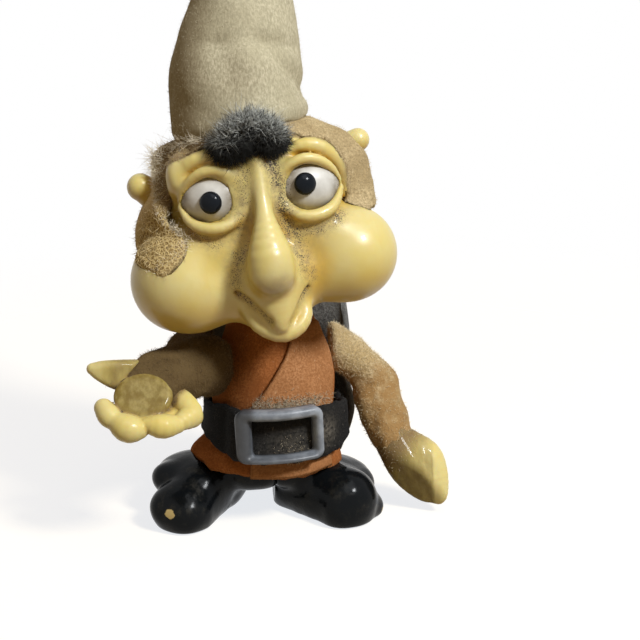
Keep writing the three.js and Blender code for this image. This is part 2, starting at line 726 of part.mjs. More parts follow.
// A hand ends at its cuff, with a peg that goes up into the sleeve
function plugIn(hand, sleeve) {
  const { wrist, wristR } = sleeve;
  const line = cuffLine(sleeve);
  const face = wrist.clone().addScaledVector(line, SEAT);
  const behind = face.clone().addScaledVector(line, -wristR * 4);
  const pegEnd = wrist.clone().addScaledVector(line, -WRIST_PEG_LENGTH);
  const pegRoot = wrist.clone().addScaledVector(line, wristR);
  return hand.subtract(bar(behind, face, wristR * CUFF_CUT, 8)).add(bar(pegEnd, pegRoot, WRIST_PEG_R, 14));
}

// The neck pivot, at mid spring, carries the head's tilt
const neck = new THREE.Group();
neck.position.set(0, BODY_BACK, PIVOT_Z);
neck.rotation.set(radians(-HEAD_PITCH), radians(HEAD_ROLL), 0, 'YXZ');
const headAxis = vec(0, 0, 1).applyEuler(neck.rotation);

// Neck spring: one unbroken wire wound about an axis that bends from upright to the head's tilt
function makeSpring() {
  const STEPS_A_TURN = 8;
  const WIRE_SIDES = 5;
  const steps = SPRING_TURNS * STEPS_A_TURN;
  const axis = new THREE.QuadraticBezierCurve3(
    vec(0, 0, -SPRING_HALF), vec(0, 0, 0), headAxis.clone().multiplyScalar(SPRING_HALF),
  );
  const wind = SPRING_R - SPRING_WIRE / 2;
  const margin = SPRING_WIRE / 2 / axis.getLength();
  const centre = (share) => {
    const along = lerp(margin, 1 - margin, share);
    const up = axis.getTangent(along);
    const right = vec(0, 1, 0).cross(up).normalize();
    const front = up.clone().cross(right);
    const turn = 2 * Math.PI * SPRING_TURNS * share;
    return axis.getPoint(along).addScaledVector(right, wind * Math.cos(turn))
      .addScaledVector(front, wind * Math.sin(turn));
  };
  const centres = Array.from({ length: steps + 1 }, (_, i) => centre(i / steps));
  const positions = [];
  centres.forEach((middle, i) => {
    const ahead = centres[Math.min(i + 1, steps)].clone().sub(centres[Math.max(i - 1, 0)]).normalize();
    const side = ahead.clone().cross(vec(0, 0, 1)).normalize();
    const lift = side.clone().cross(ahead);
    for (let k = 0; k < WIRE_SIDES; k += 1) {
      const turn = (2 * Math.PI * k) / WIRE_SIDES;
      const point = middle.clone().addScaledVector(side, (SPRING_WIRE / 2) * Math.cos(turn))
        .addScaledVector(lift, (SPRING_WIRE / 2) * Math.sin(turn));
      positions.push(...point.toArray());
    }
  });
  const faces = [];
  for (let i = 0; i < steps; i += 1) {
    for (let k = 0; k < WIRE_SIDES; k += 1) {
      const [a, b] = [i * WIRE_SIDES + k, i * WIRE_SIDES + ((k + 1) % WIRE_SIDES)];
      faces.push(a, b, b + WIRE_SIDES, a, b + WIRE_SIDES, a + WIRE_SIDES);
    }
  }
  for (let k = 1; k < WIRE_SIDES - 1; k += 1) {
    const last = steps * WIRE_SIDES;
    faces.push(0, k + 1, k, last, last + k, last + k + 1);
  }
  let gap = Infinity;
  centres.forEach((a, i) => centres.forEach((b, j) => {
    if (j - i > STEPS_A_TURN / 2) gap = Math.min(gap, a.distanceTo(b) - SPRING_WIRE);
  }));
  console.log(`neck_spring least gap to itself ${gap.toFixed(2)} mm`);
  return closed(positions, faces).translate([0, BODY_BACK, PIVOT_Z]);
}

// Spring cup: a flanged bush that snaps into the head's neck hole and lets the head turn
const headPlace = vec(0, -HEAD_FORWARD, HEAD_RISE);
const neckY = HEAD_FORWARD;
const neckHoleR = CUP_R + SEAT;
const headFloorTop = NECK_SEAT + HEAD_FLOOR;
const springHead = -HEAD_RISE + SPRING_HALF;
const cupTop = springHead + SEAT + CUP_ROOF;

function makeCup() {
  const flangeTop = NECK_SEAT - SEAT;
  const ringBottom = headFloorTop + SEAT;
  const body = turned([
    [0, springHead + SEAT], [springSocketR, springHead + SEAT], [springSocketR, flangeTop - CUP_FLANGE],
    [CUP_FLANGE_R, flangeTop - CUP_FLANGE], [CUP_FLANGE_R, flangeTop], [CUP_R, flangeTop],
    [CUP_R, ringBottom], [CUP_RING_R, ringBottom], [CUP_RING_R, ringBottom + CUP_RING],
    [CUP_R, ringBottom + CUP_RING], [CUP_R, cupTop], [0, cupTop],
  ]);
  return body.translate([0, neckY, 0]);
}

// Head: skull, forehead, cheeks, nose, lips and chin flow into each other
const skull = ellipsoid(vec(0, 0, SKULL_Z), vec(SKULL_WIDE, SKULL_DEEP, SKULL_HIGH));
const cheeks = [ball(RIGHT_CHEEK, RIGHT_CHEEK_R), ball(LEFT_CHEEK, LEFT_CHEEK_R)];
const jaw = taper(JAW_END.clone().setX(-JAW_END.x), JAW_R, JAW_END, JAW_R);
const NECK_RING_RISE = 3.9;
const NECK_RING_WALL = 2.2;
const NECK_RING = vec(0, neckY, NECK_SEAT + NECK_RING_RISE);
const NECK_RING_R = CUP_FLANGE_R + NECK_RING_WALL;
const FEATURE_SOFTNESS = 1.4;
const NOSE_SOFTNESS = 0.4;
const MASS_SOFTNESS = 2.6;
const forehead = ellipsoid(FOREHEAD, FOREHEAD_RADII);

// The features sit on the face askew, turned and shifted against the skull
const faceFrame = new THREE.Matrix4().makeRotationY(radians(FACE_TILT)).setPosition(FACE_SHIFT, 0, 0);
const onFace = (point) => point.clone().applyMatrix4(faceFrame);
const chain = (stops) => stops.slice(1).map(
  (stop, i) => taper(onFace(stops[i].at), stops[i].r, onFace(stop.at), stop.r),
);
const headField = blend(
  FEATURE_SOFTNESS,
  blend(MASS_SOFTNESS, skull, forehead, ...cheeks, jaw, ball(NECK_RING, NECK_RING_R)),
  blend(NOSE_SOFTNESS, ...chain(NOSE.slice(0, 3))),
  blend(NOSE_SOFTNESS, ...chain(UPPER_LIP), ball(onFace(CHIN), CHIN_R)),
);
const swollen = (by) => (p) => headField(p) - by;
const headWide = reach(headField, vec(0, 0, HAT_LINE), vec(1, 0, 0));
const headDeep = Math.max(...[-1, 1].map((way) => reach(headField, vec(0, 0, HAT_LINE), vec(0, way, 0))));

// An eye faces outwards a little; each is a flat-backed lens between an upper lid and a bag
const eyeFrame = (side) => {
  const turn = new THREE.Matrix4().makeRotationZ(radians(side * EYE_TURN));
  return faceFrame.clone().multiply(turn.setPosition(side * EYE_X, EYE_Y, EYE_Z));
};
const placed = (body, frame) => body.transform(frame.toArray());

function eyeLens(grow) {
  const round = new THREE.SphereGeometry(1, 16, 10);
  round.scale(EYE_WIDE + grow, EYE_BULGE + grow, EYE_HIGH + grow);
  const wide = EYE_WIDE * 2;
  return solid(round).intersect(block(vec(-wide, -wide, -wide), vec(wide, EYE_DEPTH + grow, wide)));
}

// A fold over or under the eye, from one corner to the other
function lidArc(start, radius, out) {
  const POINTS = 6;
  const OVERHANG = 0.4;
  const wide = EYE_WIDE + radius * OVERHANG;
  const high = EYE_HIGH + radius * OVERHANG;
  const points = Array.from({ length: POINTS }, (_, i) => {
    const turn = radians(lerp(start, Math.sign(start) * 180 - start, i / (POINTS - 1)));
    return vec(wide * Math.cos(turn), -out * Math.abs(Math.sin(turn)), high * Math.sin(turn));
  });
  return rod(points, radius, POINTS + 1);
}

const BROW = [
  vec(4.6, -10.6, 11.1), vec(6.6, -10.4, 11.5), vec(8.6, -9.9, 11.0), vec(10.2, -8.6, 9.2),
  vec(11.2, -7.0, 6.3),
];
const LOWER_LIP = [
  vec(-4.1, -10.9, -8.0), vec(-3.4, -11.7, -10.2), vec(-2.2, -12.2, -11.8), vec(0.2, -12.7, -12.8),
  vec(2.4, -12.3, -12.3), vec(3.7, -11.6, -10.9), vec(4.1, -10.8, -8.8),
];

function makeHead() {
  let body = blob(headField, vec(0, 0, 0), HEAD_SIDES, HEAD_RINGS, HEAD_CROWD);
  body = body.add(blob(blend(NOSE_SOFTNESS, ...chain(NOSE)), onFace(NOSE_HEART), 16, 18));
  body = body.add(rod(LOWER_LIP.map(onFace), LOWER_LIP_R, 12));
  for (const side of [-1, 1]) {
    body = body.add(makeBrow(side, 0));
    const lids = lidArc(LID_START, LID_R, LID_OUT).add(lidArc(-LID_START, BAG_R, BAG_OUT));
    body = body.add(placed(lids, eyeFrame(side))).add(makeEar(side, 0));
    body = body.subtract(placed(eyeLens(SEAT), eyeFrame(side)));
  }
  const below = vec(0, neckY, NECK_SEAT - NECK_RING_R);
  const roof = vec(0, neckY, cupTop + SEAT);
  body = body.subtract(bar(below, vec(0, neckY, NECK_SEAT), NECK_RING_R, 24));
  body = body.subtract(bar(below, roof, neckHoleR, 20));
  return body.subtract(bar(vec(0, neckY, headFloorTop), roof, CUP_RING_R + SEAT, 20));
}

function makeBrow(side, grow) {
  return rod(BROW.map((p) => onFace(p.clone().setX(side * p.x))), BROW_R + grow);
}

function makeEar(side, grow) {
  const root = vec(side * EAR_ROOT_X, EAR_Y, EAR_Z);
  return rod([root, vec(side * EAR_X, EAR_Y, EAR_Z)], EAR_R + grow, 1, 8);
}

// Pupil: a small dome seated on the front of the eye
function makePupil({ across, up }, frame) {
  const dome = new THREE.SphereGeometry(PUPIL_R, 12, 8).scale(1, PUPIL_FLATNESS, 1);
  const fall = Math.sqrt(1 - (across / EYE_WIDE) ** 2 - (up / EYE_HIGH) ** 2);
  const stud = solid(dome.translate(across, -EYE_BULGE * fall, up));
  return placed(stud.subtract(eyeLens(SEAT)), frame);
}

// Hair: a cloth shell from sideburn round the back to sideburn, with holes for the ears
function makeHair() {
  const ACROSS = 24;
  const RINGS = 6;
  const top = HAT_LINE - SEAT;
  const wide = stations([[HAIR_LOW, HAIR_WIDE], [HAIR_BULGE_Z, HAIR_WIDE], [top, headWide + HAIR]]);
  const deep = stations([[HAIR_LOW, HAIR_DEEP], [HAIR_BULGE_Z, HAIR_DEEP], [top, headDeep + HAIR]]);
  const right = stations([
    [HAIR_LOW, HAIR_RIGHT_LOBE], [HAIR_LOBE_Z, HAIR_RIGHT_LOBE], [2 * HAIR_LOBE_Z, HAIR_RIGHT_FRONT],
    [top, HAIR_RIGHT_FRONT],
  ]);
  const skin = (out) => (u, v) => {
    const height = lerp(HAIR_LOW, top, v);
    const turn = radians(lerp(-right(height), HAIR_LEFT_FRONT, u));
    return vec((wide(height) + out) * Math.sin(turn), (deep(height) + out) * Math.cos(turn), height);
  };
  let body = slab(skin(0), skin(-HAIR), ACROSS, RINGS);
  for (const side of [-1, 1]) body = body.subtract(makeEar(side, SEAT)).subtract(makeBrow(side, SEAT));
  return body.subtract(blob(swollen(SEAT), vec(0, 0, 0), HEAD_SIDES, HEAD_RINGS, HEAD_CROWD));
}

// Hat: a tall soft cone that leans to the left of the head, with creases; wadding fills it
const hatSide = headWide + HAT_FIT;
const hatRadius = stations([
  [0, hatSide], [HAT_SHOULDER * HAT_STRAIGHT, hatSide - HAT_SHOULDER_TAPER / 4],
  [HAT_SHOULDER, hatSide - HAT_SHOULDER_TAPER], [HAT_HEIGHT * HAT_BEND_SHARE, HAT_BEND_R],
  [HAT_HEIGHT, HAT_TIP_R],
]);
const hatDeepen = stations([[0, headDeep - headWide], [HAT_SHOULDER, 0], [HAT_HEIGHT, 0]]);

function hatPoint(angle, rise, out) {
  const share = rise / HAT_HEIGHT;
  const lean = HAT_LEAN * share * share * (1 + HAT_BEND * (1 - share));
  const wave = Math.sin(2 * Math.PI * HAT_CREASES * share + angle);
  const crease = HAT_CREASE * wave * Math.sin(Math.PI * share);
  const radius = Math.max(hatRadius(rise) + crease * Math.cos(angle) + out, 0);
  const depth = (radius + hatDeepen(rise)) * Math.sin(angle);
  return vec(lean + radius * Math.cos(angle), HAT_BACK * share + depth, HAT_LINE + rise);
}

// Points over the hat from its edge to its crown, with a round tip
function hatSkin(low, high, out) {
  const CAP = 0.8;
  const tip = HAT_TIP_R + out;
  return (u, v) => {
    const round = Math.max((v - CAP) / (1 - CAP), 0) * Math.PI / 2;
    const rise = lerp(low, high - tip, Math.min(v / CAP, 1));
    const rim = hatPoint(2 * Math.PI * u, rise, out);
    const heart = hatPoint(0, rise, 0).add(hatPoint(Math.PI, rise, 0)).multiplyScalar(0.5);
    return heart.lerp(rim, Math.cos(round)).add(vec(0, 0, tip * Math.sin(round)));
  };
}

function makeHat() {
  const outer = hatSkin(0, HAT_HEIGHT + FELT, FELT);
  const inner = hatSkin(0, HAT_HEIGHT, 0);
  return slab(outer, inner, HAT_SIDES, HAT_RINGS, true);
}

// The space inside the hat between two heights, drawn in or out, closed at both ends
function hatCore(low, high, out, rings) {
  const skin = hatSkin(low, high, out);
  const heart = hatPoint(0, low, 0).add(hatPoint(Math.PI, low, 0)).multiplyScalar(0.5);
  return rows((u, j) => (j === 0 ? heart : skin(u, (j - 1) / rings)), HAT_SIDES, rings + 1);
}

function makeWadding() {
  const crown = SKULL_Z + SKULL_HIGH + SEAT;
  const below = block(vec(-ROOM, -ROOM, 0), vec(ROOM, ROOM, crown));
  return hatCore(0, HAT_HEIGHT - SEAT, -SEAT, HAT_RINGS).subtract(below);
}

// A closed body from rows of points that begin and end at a single point
function rows(point, across, along) {
  const positions = [];
  for (let j = 0; j <= along; j += 1) {
    for (let i = 0; i < across; i += 1) positions.push(...point(i / across, j).toArray());
  }
  const at = (i, j) => j * across + (i % across);
  const faces = [];
  for (let j = 0; j < along; j += 1) {
    for (let i = 0; i < across; i += 1) {
      faces.push(at(i, j), at(i + 1, j), at(i + 1, j + 1), at(i, j), at(i + 1, j + 1), at(i, j + 1));
    }
  }
  return closed(positions, faces);
}

// Forelock: a tuft below the hat's front edge, fitted to the forehead and the hat
function makeForelock() {
  const tuft = blob(ellipsoid(FORELOCK, FORELOCK_RADII), FORELOCK, 20, 12);
  const brow = blob(swollen(SEAT), vec(0, 0, 0), HEAD_SIDES, HEAD_RINGS, HEAD_CROWD);
  let body = tuft.subtract(brow).subtract(hatCore(-SEAT, HAT_HEIGHT, FELT + SEAT, HAT_RINGS));
  for (const side of [-1, 1]) body = body.subtract(makeBrow(side, SEAT));
  return body;
}

figure.add(mesh('torso_core', makeTorso(), bodyPlastic));
figure.add(mesh('neck_plug', makePlug(), whitePlastic));
figure.add(mesh('tunic', makeTunic(), rustFelt));
figure.add(mesh('tunic_front_flap', makeFlap(), rustFelt));
figure.add(mesh('belt', makeBelt(), blackFelt));
figure.add(mesh('belt_buckle', makeBuckle(), bucklePlastic));
figure.add(mesh('cape', makeCape(), greyFelt));
for (const [name, boot] of Object.entries(BOOTS)) {
  figure.add(mesh(`${name}_boot`, makeBoot(boot), bootPaint));
}
for (const [name, sleeve] of Object.entries(SLEEVES)) {
  figure.add(mesh(`${name}_sleeve`, makeSleeve(sleeve), brownFlock));
}
figure.add(mesh('right_hand', makeRightHand(), skinPlastic));
figure.add(mesh('left_hand', makeLeftHand(), skinPlastic));
figure.add(mesh('neck_spring', makeSpring(), springSteel));

const head = new THREE.Group();
head.position.copy(headPlace);
neck.add(head);
figure.add(neck);
head.add(mesh('spring_cup', makeCup(), whitePlastic));
head.add(mesh('head', makeHead(), skinPlastic));
for (const [name, side] of [['right', -1], ['left', 1]]) {
  head.add(mesh(`${name}_eye`, placed(eyeLens(0), eyeFrame(side)), eyePaint));
  head.add(mesh(`${name}_pupil`, makePupil(PUPILS[name], eyeFrame(side)), pupilPaint));
}
head.add(mesh('hair', makeHair(), brownFlock));
head.add(mesh('hat', makeHat(), khakiFelt));
head.add(mesh('hat_wadding', makeWadding(), wadding));
head.add(mesh('forelock', makeForelock(), furBlack));

// The part stands on its soles, with its origin below the middle of its box
const part = new THREE.Group();
part.add(figure);
const box = new THREE.Box3().setFromObject(figure, true);
const centre = box.getCenter(vec(0, 0, 0));
figure.position.set(-centre.x, -centre.y, -box.min.z);

export default part;
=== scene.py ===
# Looks of the nodding gnome figurine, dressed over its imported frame.
# Shapes are written in millimetres and become metres when a mesh is made.
# Left and right are the figure's own.
import itertools
import math

import bpy
import mathutils
import numpy as np
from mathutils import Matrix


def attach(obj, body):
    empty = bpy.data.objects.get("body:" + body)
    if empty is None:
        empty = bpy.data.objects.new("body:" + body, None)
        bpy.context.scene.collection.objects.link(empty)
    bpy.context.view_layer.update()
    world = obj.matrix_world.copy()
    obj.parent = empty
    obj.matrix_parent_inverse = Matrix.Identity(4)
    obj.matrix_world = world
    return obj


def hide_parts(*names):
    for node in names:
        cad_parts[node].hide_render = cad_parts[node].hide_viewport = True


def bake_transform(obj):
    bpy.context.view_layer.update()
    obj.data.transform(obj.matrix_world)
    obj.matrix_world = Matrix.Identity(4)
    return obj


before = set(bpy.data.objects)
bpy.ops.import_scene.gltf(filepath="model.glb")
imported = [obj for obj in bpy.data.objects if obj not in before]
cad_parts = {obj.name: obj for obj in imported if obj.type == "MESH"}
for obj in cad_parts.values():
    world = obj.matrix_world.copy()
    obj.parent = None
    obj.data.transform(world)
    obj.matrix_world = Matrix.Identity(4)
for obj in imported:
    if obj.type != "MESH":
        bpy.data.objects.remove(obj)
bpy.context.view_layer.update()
rng = np.random.default_rng(20)
MM = 0.001


# Places: body and head each have their own axes, and both are turned into the part's
def vec(*values):
    return np.array(values, float)


def turn_matrix(axis, degrees):
    angle = math.radians(degrees)
    first, second = [k for k in range(3) if k != axis]
    made = np.eye(3)
    sign = -1 if axis == 1 else 1
    made[first, first] = made[second, second] = math.cos(angle)
    made[first, second] = -sign * math.sin(angle)
    made[second, first] = sign * math.sin(angle)
    return made


BODY_PLACE = vec(0.0867, 5.7134, 0)
NECK_PLACE = vec(0, -1.5, 33.5)
HEAD_PLACE = vec(0, -5.5, 9.4)
HEAD_TURN = turn_matrix(1, -10.5) @ turn_matrix(0, -6)


def from_body(points):
    return points + BODY_PLACE


def to_head(points):
    return (points - BODY_PLACE - NECK_PLACE) @ HEAD_TURN - HEAD_PLACE


def from_head(points):
    return (points + HEAD_PLACE) @ HEAD_TURN.T + NECK_PLACE + BODY_PLACE


# Distance fields, negative inside
def size(points):
    return np.sqrt((points * points).sum(-1))


def ball(centre, radius):
    return lambda p: size(p - vec(*centre)) - radius


def egg(centre, radii, turn=None):
    def field(p):
        local = (p - vec(*centre)) @ (np.eye(3) if turn is None else turn)
        scaled = local / vec(*radii)
        length = size(scaled)
        return length * (length - 1) / np.maximum(size(scaled / vec(*radii)), 1e-6)
    return field


def cone(start, start_radius, end, end_radius):
    start, end = vec(*start), vec(*end)
    along = end - start

    def field(p):
        share = np.clip((p - start) @ along / (along @ along), 0, 1)
        middle = start + share[:, None] * along
        return size(p - middle) - (start_radius + (end_radius - start_radius) * share)
    return field


# A smooth curve through stops of any width
def smooth_line(stops, count):
    stops = np.array(stops, float)
    ends = np.vstack([2 * stops[0] - stops[1], stops, 2 * stops[-1] - stops[-2]])
    place = np.linspace(0, len(stops) - 1, count)
    first = np.minimum(place.astype(int), len(stops) - 2)
    t = (place - first)[:, None]
    a, b, c, d = (ends[first + k] for k in range(4))
    return (2 * b + (c - a) * t + (2 * a - 5 * b + 4 * c - d) * t ** 2 + (3 * b - 3 * c + d - a) * t ** 3) / 2


# A round limb along a smooth curve through stops of x, y, z and radius; worked out only near itself
def limb(*stops, count=14):
    line = smooth_line(stops, count)
    margin = 2.8
    grow = line[:, 3].max() + margin
    low, high = line[:, :3].min(0) - grow, line[:, :3].max(0) + grow
    links = [cone(a[:3], a[3], b[:3], b[3]) for a, b in zip(line, line[1:])]

    def field(p):
        made = margin + size(np.maximum(np.maximum(low - p, p - high), 0))
        close = ((p > low) & (p < high)).all(1)
        made[close] = np.min([link(p[close]) for link in links], axis=0) if close.any() else 0
        return made
    return field


def union(softness, *fields):
    def field(p):
        made = fields[0](p)
        for other in fields[1:]:
            value = other(p)
            share = np.maximum(softness - np.abs(made - value), 0) / softness
            made = np.minimum(made, value) - share * share * softness / 4
        return made
    return field


def carve(softness, base, *tools):
    def field(p):
        made = base(p)
        for tool in tools:
            value = -tool(p)
            share = np.maximum(softness - np.abs(made - value), 0) / softness
            made = np.maximum(made, value) + share * share * softness / 4
        return made
    return field


def mirrored(field):
    return lambda p: field(np.stack([np.abs(p[:, 0]), p[:, 1], p[:, 2]], 1))


def above(height, axis=2, sign=1):
    return lambda p: sign * (height - p[:, axis])


# All that lies past a plane, on the side its normal points to
def past(place, normal):
    normal = vec(*normal) / np.linalg.norm(normal)
    return lambda p: -(p - vec(*place)) @ normal


def rough(field, *waves):
    def moved(p):
        return field(p) + sum(depth * noise(p, wide, seed) for seed, (wide, depth) in enumerate(waves))
    return moved


# Smooth value noise from -1 to 1
def noise(points, wide, seed=0):
    place = points / wide + 50.5 + 17.31 * seed
    cell = np.floor(place).astype(np.int64)
    part = place - cell
    part = part * part * (3 - 2 * part)
    total = np.zeros(len(points))
    for corner in itertools.product((0, 1), repeat=3):
        key = (cell + corner) @ np.array((73856093, 19349663, 83492791)) & 0x7FFFFFFF
        key = (key * 1103515245 + 12345 + seed * 7919) & 0x7FFFFFFF
        key = ((key >> 7) ^ key) & 0xFFFF
        weight = np.prod(np.where(corner, part, 1 - part), axis=1)
        total += weight * (key / 32767.5 - 1)
    return total


def slope(field, points, nudge=0.02):
    made = np.empty_like(points)
    for axis in range(3):
        step = np.zeros(3)
        step[axis] = nudge
        made[:, axis] = field(points + step) - field(points - step)
    return made / (2 * nudge)


def near_line(points, line):
    stops = [vec(*stop) for stop in line]
    away = [cone(a, 0, b, 0)(points) for a, b in zip(stops, stops[1:])]
    return np.min(away, axis=0)


def glow(distance, wide):
    return np.exp(-((distance / wide) ** 2))


SETTLE_STEPS = 3


# The skin of a field as points and faces: one point in each crossed cell, drawn onto the surface
def skin_of(field, low, high, step):
    axes = [np.arange(a, b + step, step) for a, b in zip(low, high)]
    grid = np.stack(np.meshgrid(*axes, indexing="ij"), -1)
    value = field(grid.reshape(-1, 3)).reshape(grid.shape[:3])
    inside = value < 0
    counts = np.array(value.shape) - 1
    corners = list(itertools.product((0, 1), repeat=3))

    def shifted(array, corner):
        return array[tuple(slice(c, c + n) for c, n in zip(corner, counts))]

    filled = sum(shifted(inside, corner).astype(int) for corner in corners)
    cells = np.argwhere((filled > 0) & (filled < 8))
    number = np.full(counts, -1)
    number[tuple(cells.T)] = np.arange(len(cells))
    total, hits = np.zeros((len(cells), 3)), np.zeros(len(cells))
    for axis in range(3):
        ahead = np.eye(3, dtype=int)[axis]
        for corner in corners:
            if corner[axis]:
                continue
            base = cells + corner
            a, b = value[tuple(base.T)], value[tuple((base + ahead).T)]
            crossed = (a < 0) != (b < 0)
            share = np.where(crossed, a / np.where(crossed, a - b, 1), 0)
            total[crossed] += (base + share[:, None] * ahead)[crossed]
            hits[crossed] += 1
    points = vec(*low) + step * total / hits[:, None]
    faces = []
    for axis in range(3):
        unit = np.eye(3, dtype=int)
        ahead, side, lift = unit[axis], unit[(axis + 1) % 3], unit[(axis + 2) % 3]
        first = inside[tuple(slice(0, n) for n in counts)]
        second = shifted(inside, ahead)
        edges = np.argwhere(first != second)
        edges = edges[(edges[:, (axis + 1) % 3] > 0) & (edges[:, (axis + 2) % 3] > 0)]
        ring = [number[tuple((edges - move).T)] for move in (0 * ahead, side, side + lift, lift)]
        quads = np.stack(ring, 1)
        flip = ~first[tuple(edges.T)]
        quads[flip] = quads[flip][:, ::-1]
        faces.append(quads)
    for _ in range(SETTLE_STEPS):
        lean = slope(field, points)
        points = points - lean * (field(points) / np.maximum((lean * lean).sum(-1), 0.05))[:, None]
    return points, np.concatenate(faces)


REACH_STEPS = 120
REACH_SHARE = 0.7


# How far out from a point, along a direction, the skin of a field lies
def reach(field, origins, directions, far=40.0):
    distance = np.full(len(origins), far)
    for _ in range(REACH_STEPS):
        distance -= REACH_SHARE * field(origins + directions * distance[:, None])
    return distance


# Meshes
def piece(name, points, faces, look, body, replaces=(), masks=None):
    mesh = bpy.data.meshes.new(name)
    mesh.from_pydata((np.asarray(points) * MM).tolist(), [], [list(face) for face in faces])
    mesh.validate()
    mesh.polygons.foreach_set("use_smooth", np.ones(len(mesh.polygons), bool))
    for title, values in (masks or {}).items():
        held = mesh.attributes.new(title, "FLOAT", "POINT")
        held.data.foreach_set("value", np.asarray(values, np.float32))
    mesh.materials.append(look)
    made = bpy.data.objects.new(name, mesh)
    bpy.context.collection.objects.link(made)
    if body:
        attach(made, body)
    if replaces:
        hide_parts(*replaces)
    return made


# A sheet with rounded edges: a surface of two shares, thickened both ways along its normal
def sheet_of(surface, across, along, thickness, wrapped=False, rim=None):
    u = np.linspace(0, 1, across + 1)[: across if wrapped else None]
    v = np.linspace(0, 1, along + 1)
    rows = len(v)
    shares = np.stack(np.meshgrid(u, v, indexing="ij"), -1).reshape(-1, 2)
    middle = surface(shares[:, 0], shares[:, 1])
    nudge = 1e-3
    du = surface(shares[:, 0] + nudge, shares[:, 1]) - surface(shares[:, 0] - nudge, shares[:, 1])
    dv = surface(shares[:, 0], shares[:, 1] + nudge) - surface(shares[:, 0], shares[:, 1] - nudge)
    normal = np.cross(du, dv)
    normal /= np.maximum(size(normal), 1e-9)[:, None]
    rim_u, rim_v = rim or (0.05, 0.05)
    edge = np.minimum(shares[:, 1], 1 - shares[:, 1]) / rim_v
    if not wrapped:
        edge = np.minimum(edge, np.minimum(shares[:, 0], 1 - shares[:, 0]) / rim_u)
    full = np.sqrt(1 - (1 - np.clip(edge, 0, 1)) ** 2)
    half = thickness / 2 * full
    on_rim = edge < 1e-6
    outer = middle + normal * half[:, None]
    inner = middle - normal * half[:, None]
    total = len(middle)
    inner_number = np.where(on_rim, np.arange(total), -1)
    inner_number[~on_rim] = total + np.arange((~on_rim).sum())
    points = np.concatenate([outer, inner[~on_rim]])
    columns = len(u)
    faces = []
    for i in range(across):
        a, b = i * rows, ((i + 1) % columns) * rows
        for j in range(along):
            ring = np.array((a + j, b + j, b + j + 1, a + j + 1))
            faces.append(ring)
            faces.append(inner_number[ring][::-1])
    return points, faces


# Fine tapering fibres, each a closed three-sided spike that bends on its way
def fibres(roots, ways, lengths, width, bend, steps=3):
    count = len(roots)
    ways = ways / np.maximum(size(ways), 1e-9)[:, None]
    side = np.cross(ways, rng.normal(size=(count, 3)))
    side /= np.maximum(size(side), 1e-9)[:, None]
    lift = np.cross(ways, side)
    curl = (rng.normal(size=(count, 1)) * side + rng.normal(size=(count, 1)) * lift) * bend
    points, faces = [], []
    rings = 3 * steps + 1
    for step in range(steps):
        share = step / steps
        middle = roots + (ways * share + curl * share * share) * lengths[:, None]
        for corner in range(3):
            angle = 2 * math.pi * corner / 3
            spread = (math.cos(angle) * side + math.sin(angle) * lift) * (width / 2) * (1 - 0.7 * share)
            points.append(middle + spread)
    points.append(roots + (ways + curl) * lengths[:, None])
    stacked = np.stack(points, 1).reshape(-1, 3)
    for step in range(steps - 1):
        for corner in range(3):
            a, b = 3 * step + corner, 3 * step + (corner + 1) % 3
            faces.append((a, b, b + 3, a + 3))
    last = 3 * (steps - 1)
    tips = [(last + corner, last + (corner + 1) % 3, rings - 1) for corner in range(3)]
    pattern = faces + tips + [(2, 1, 0)]
    made = [[rings * k + n for n in face] for k in range(count) for face in pattern]
    return stacked, made


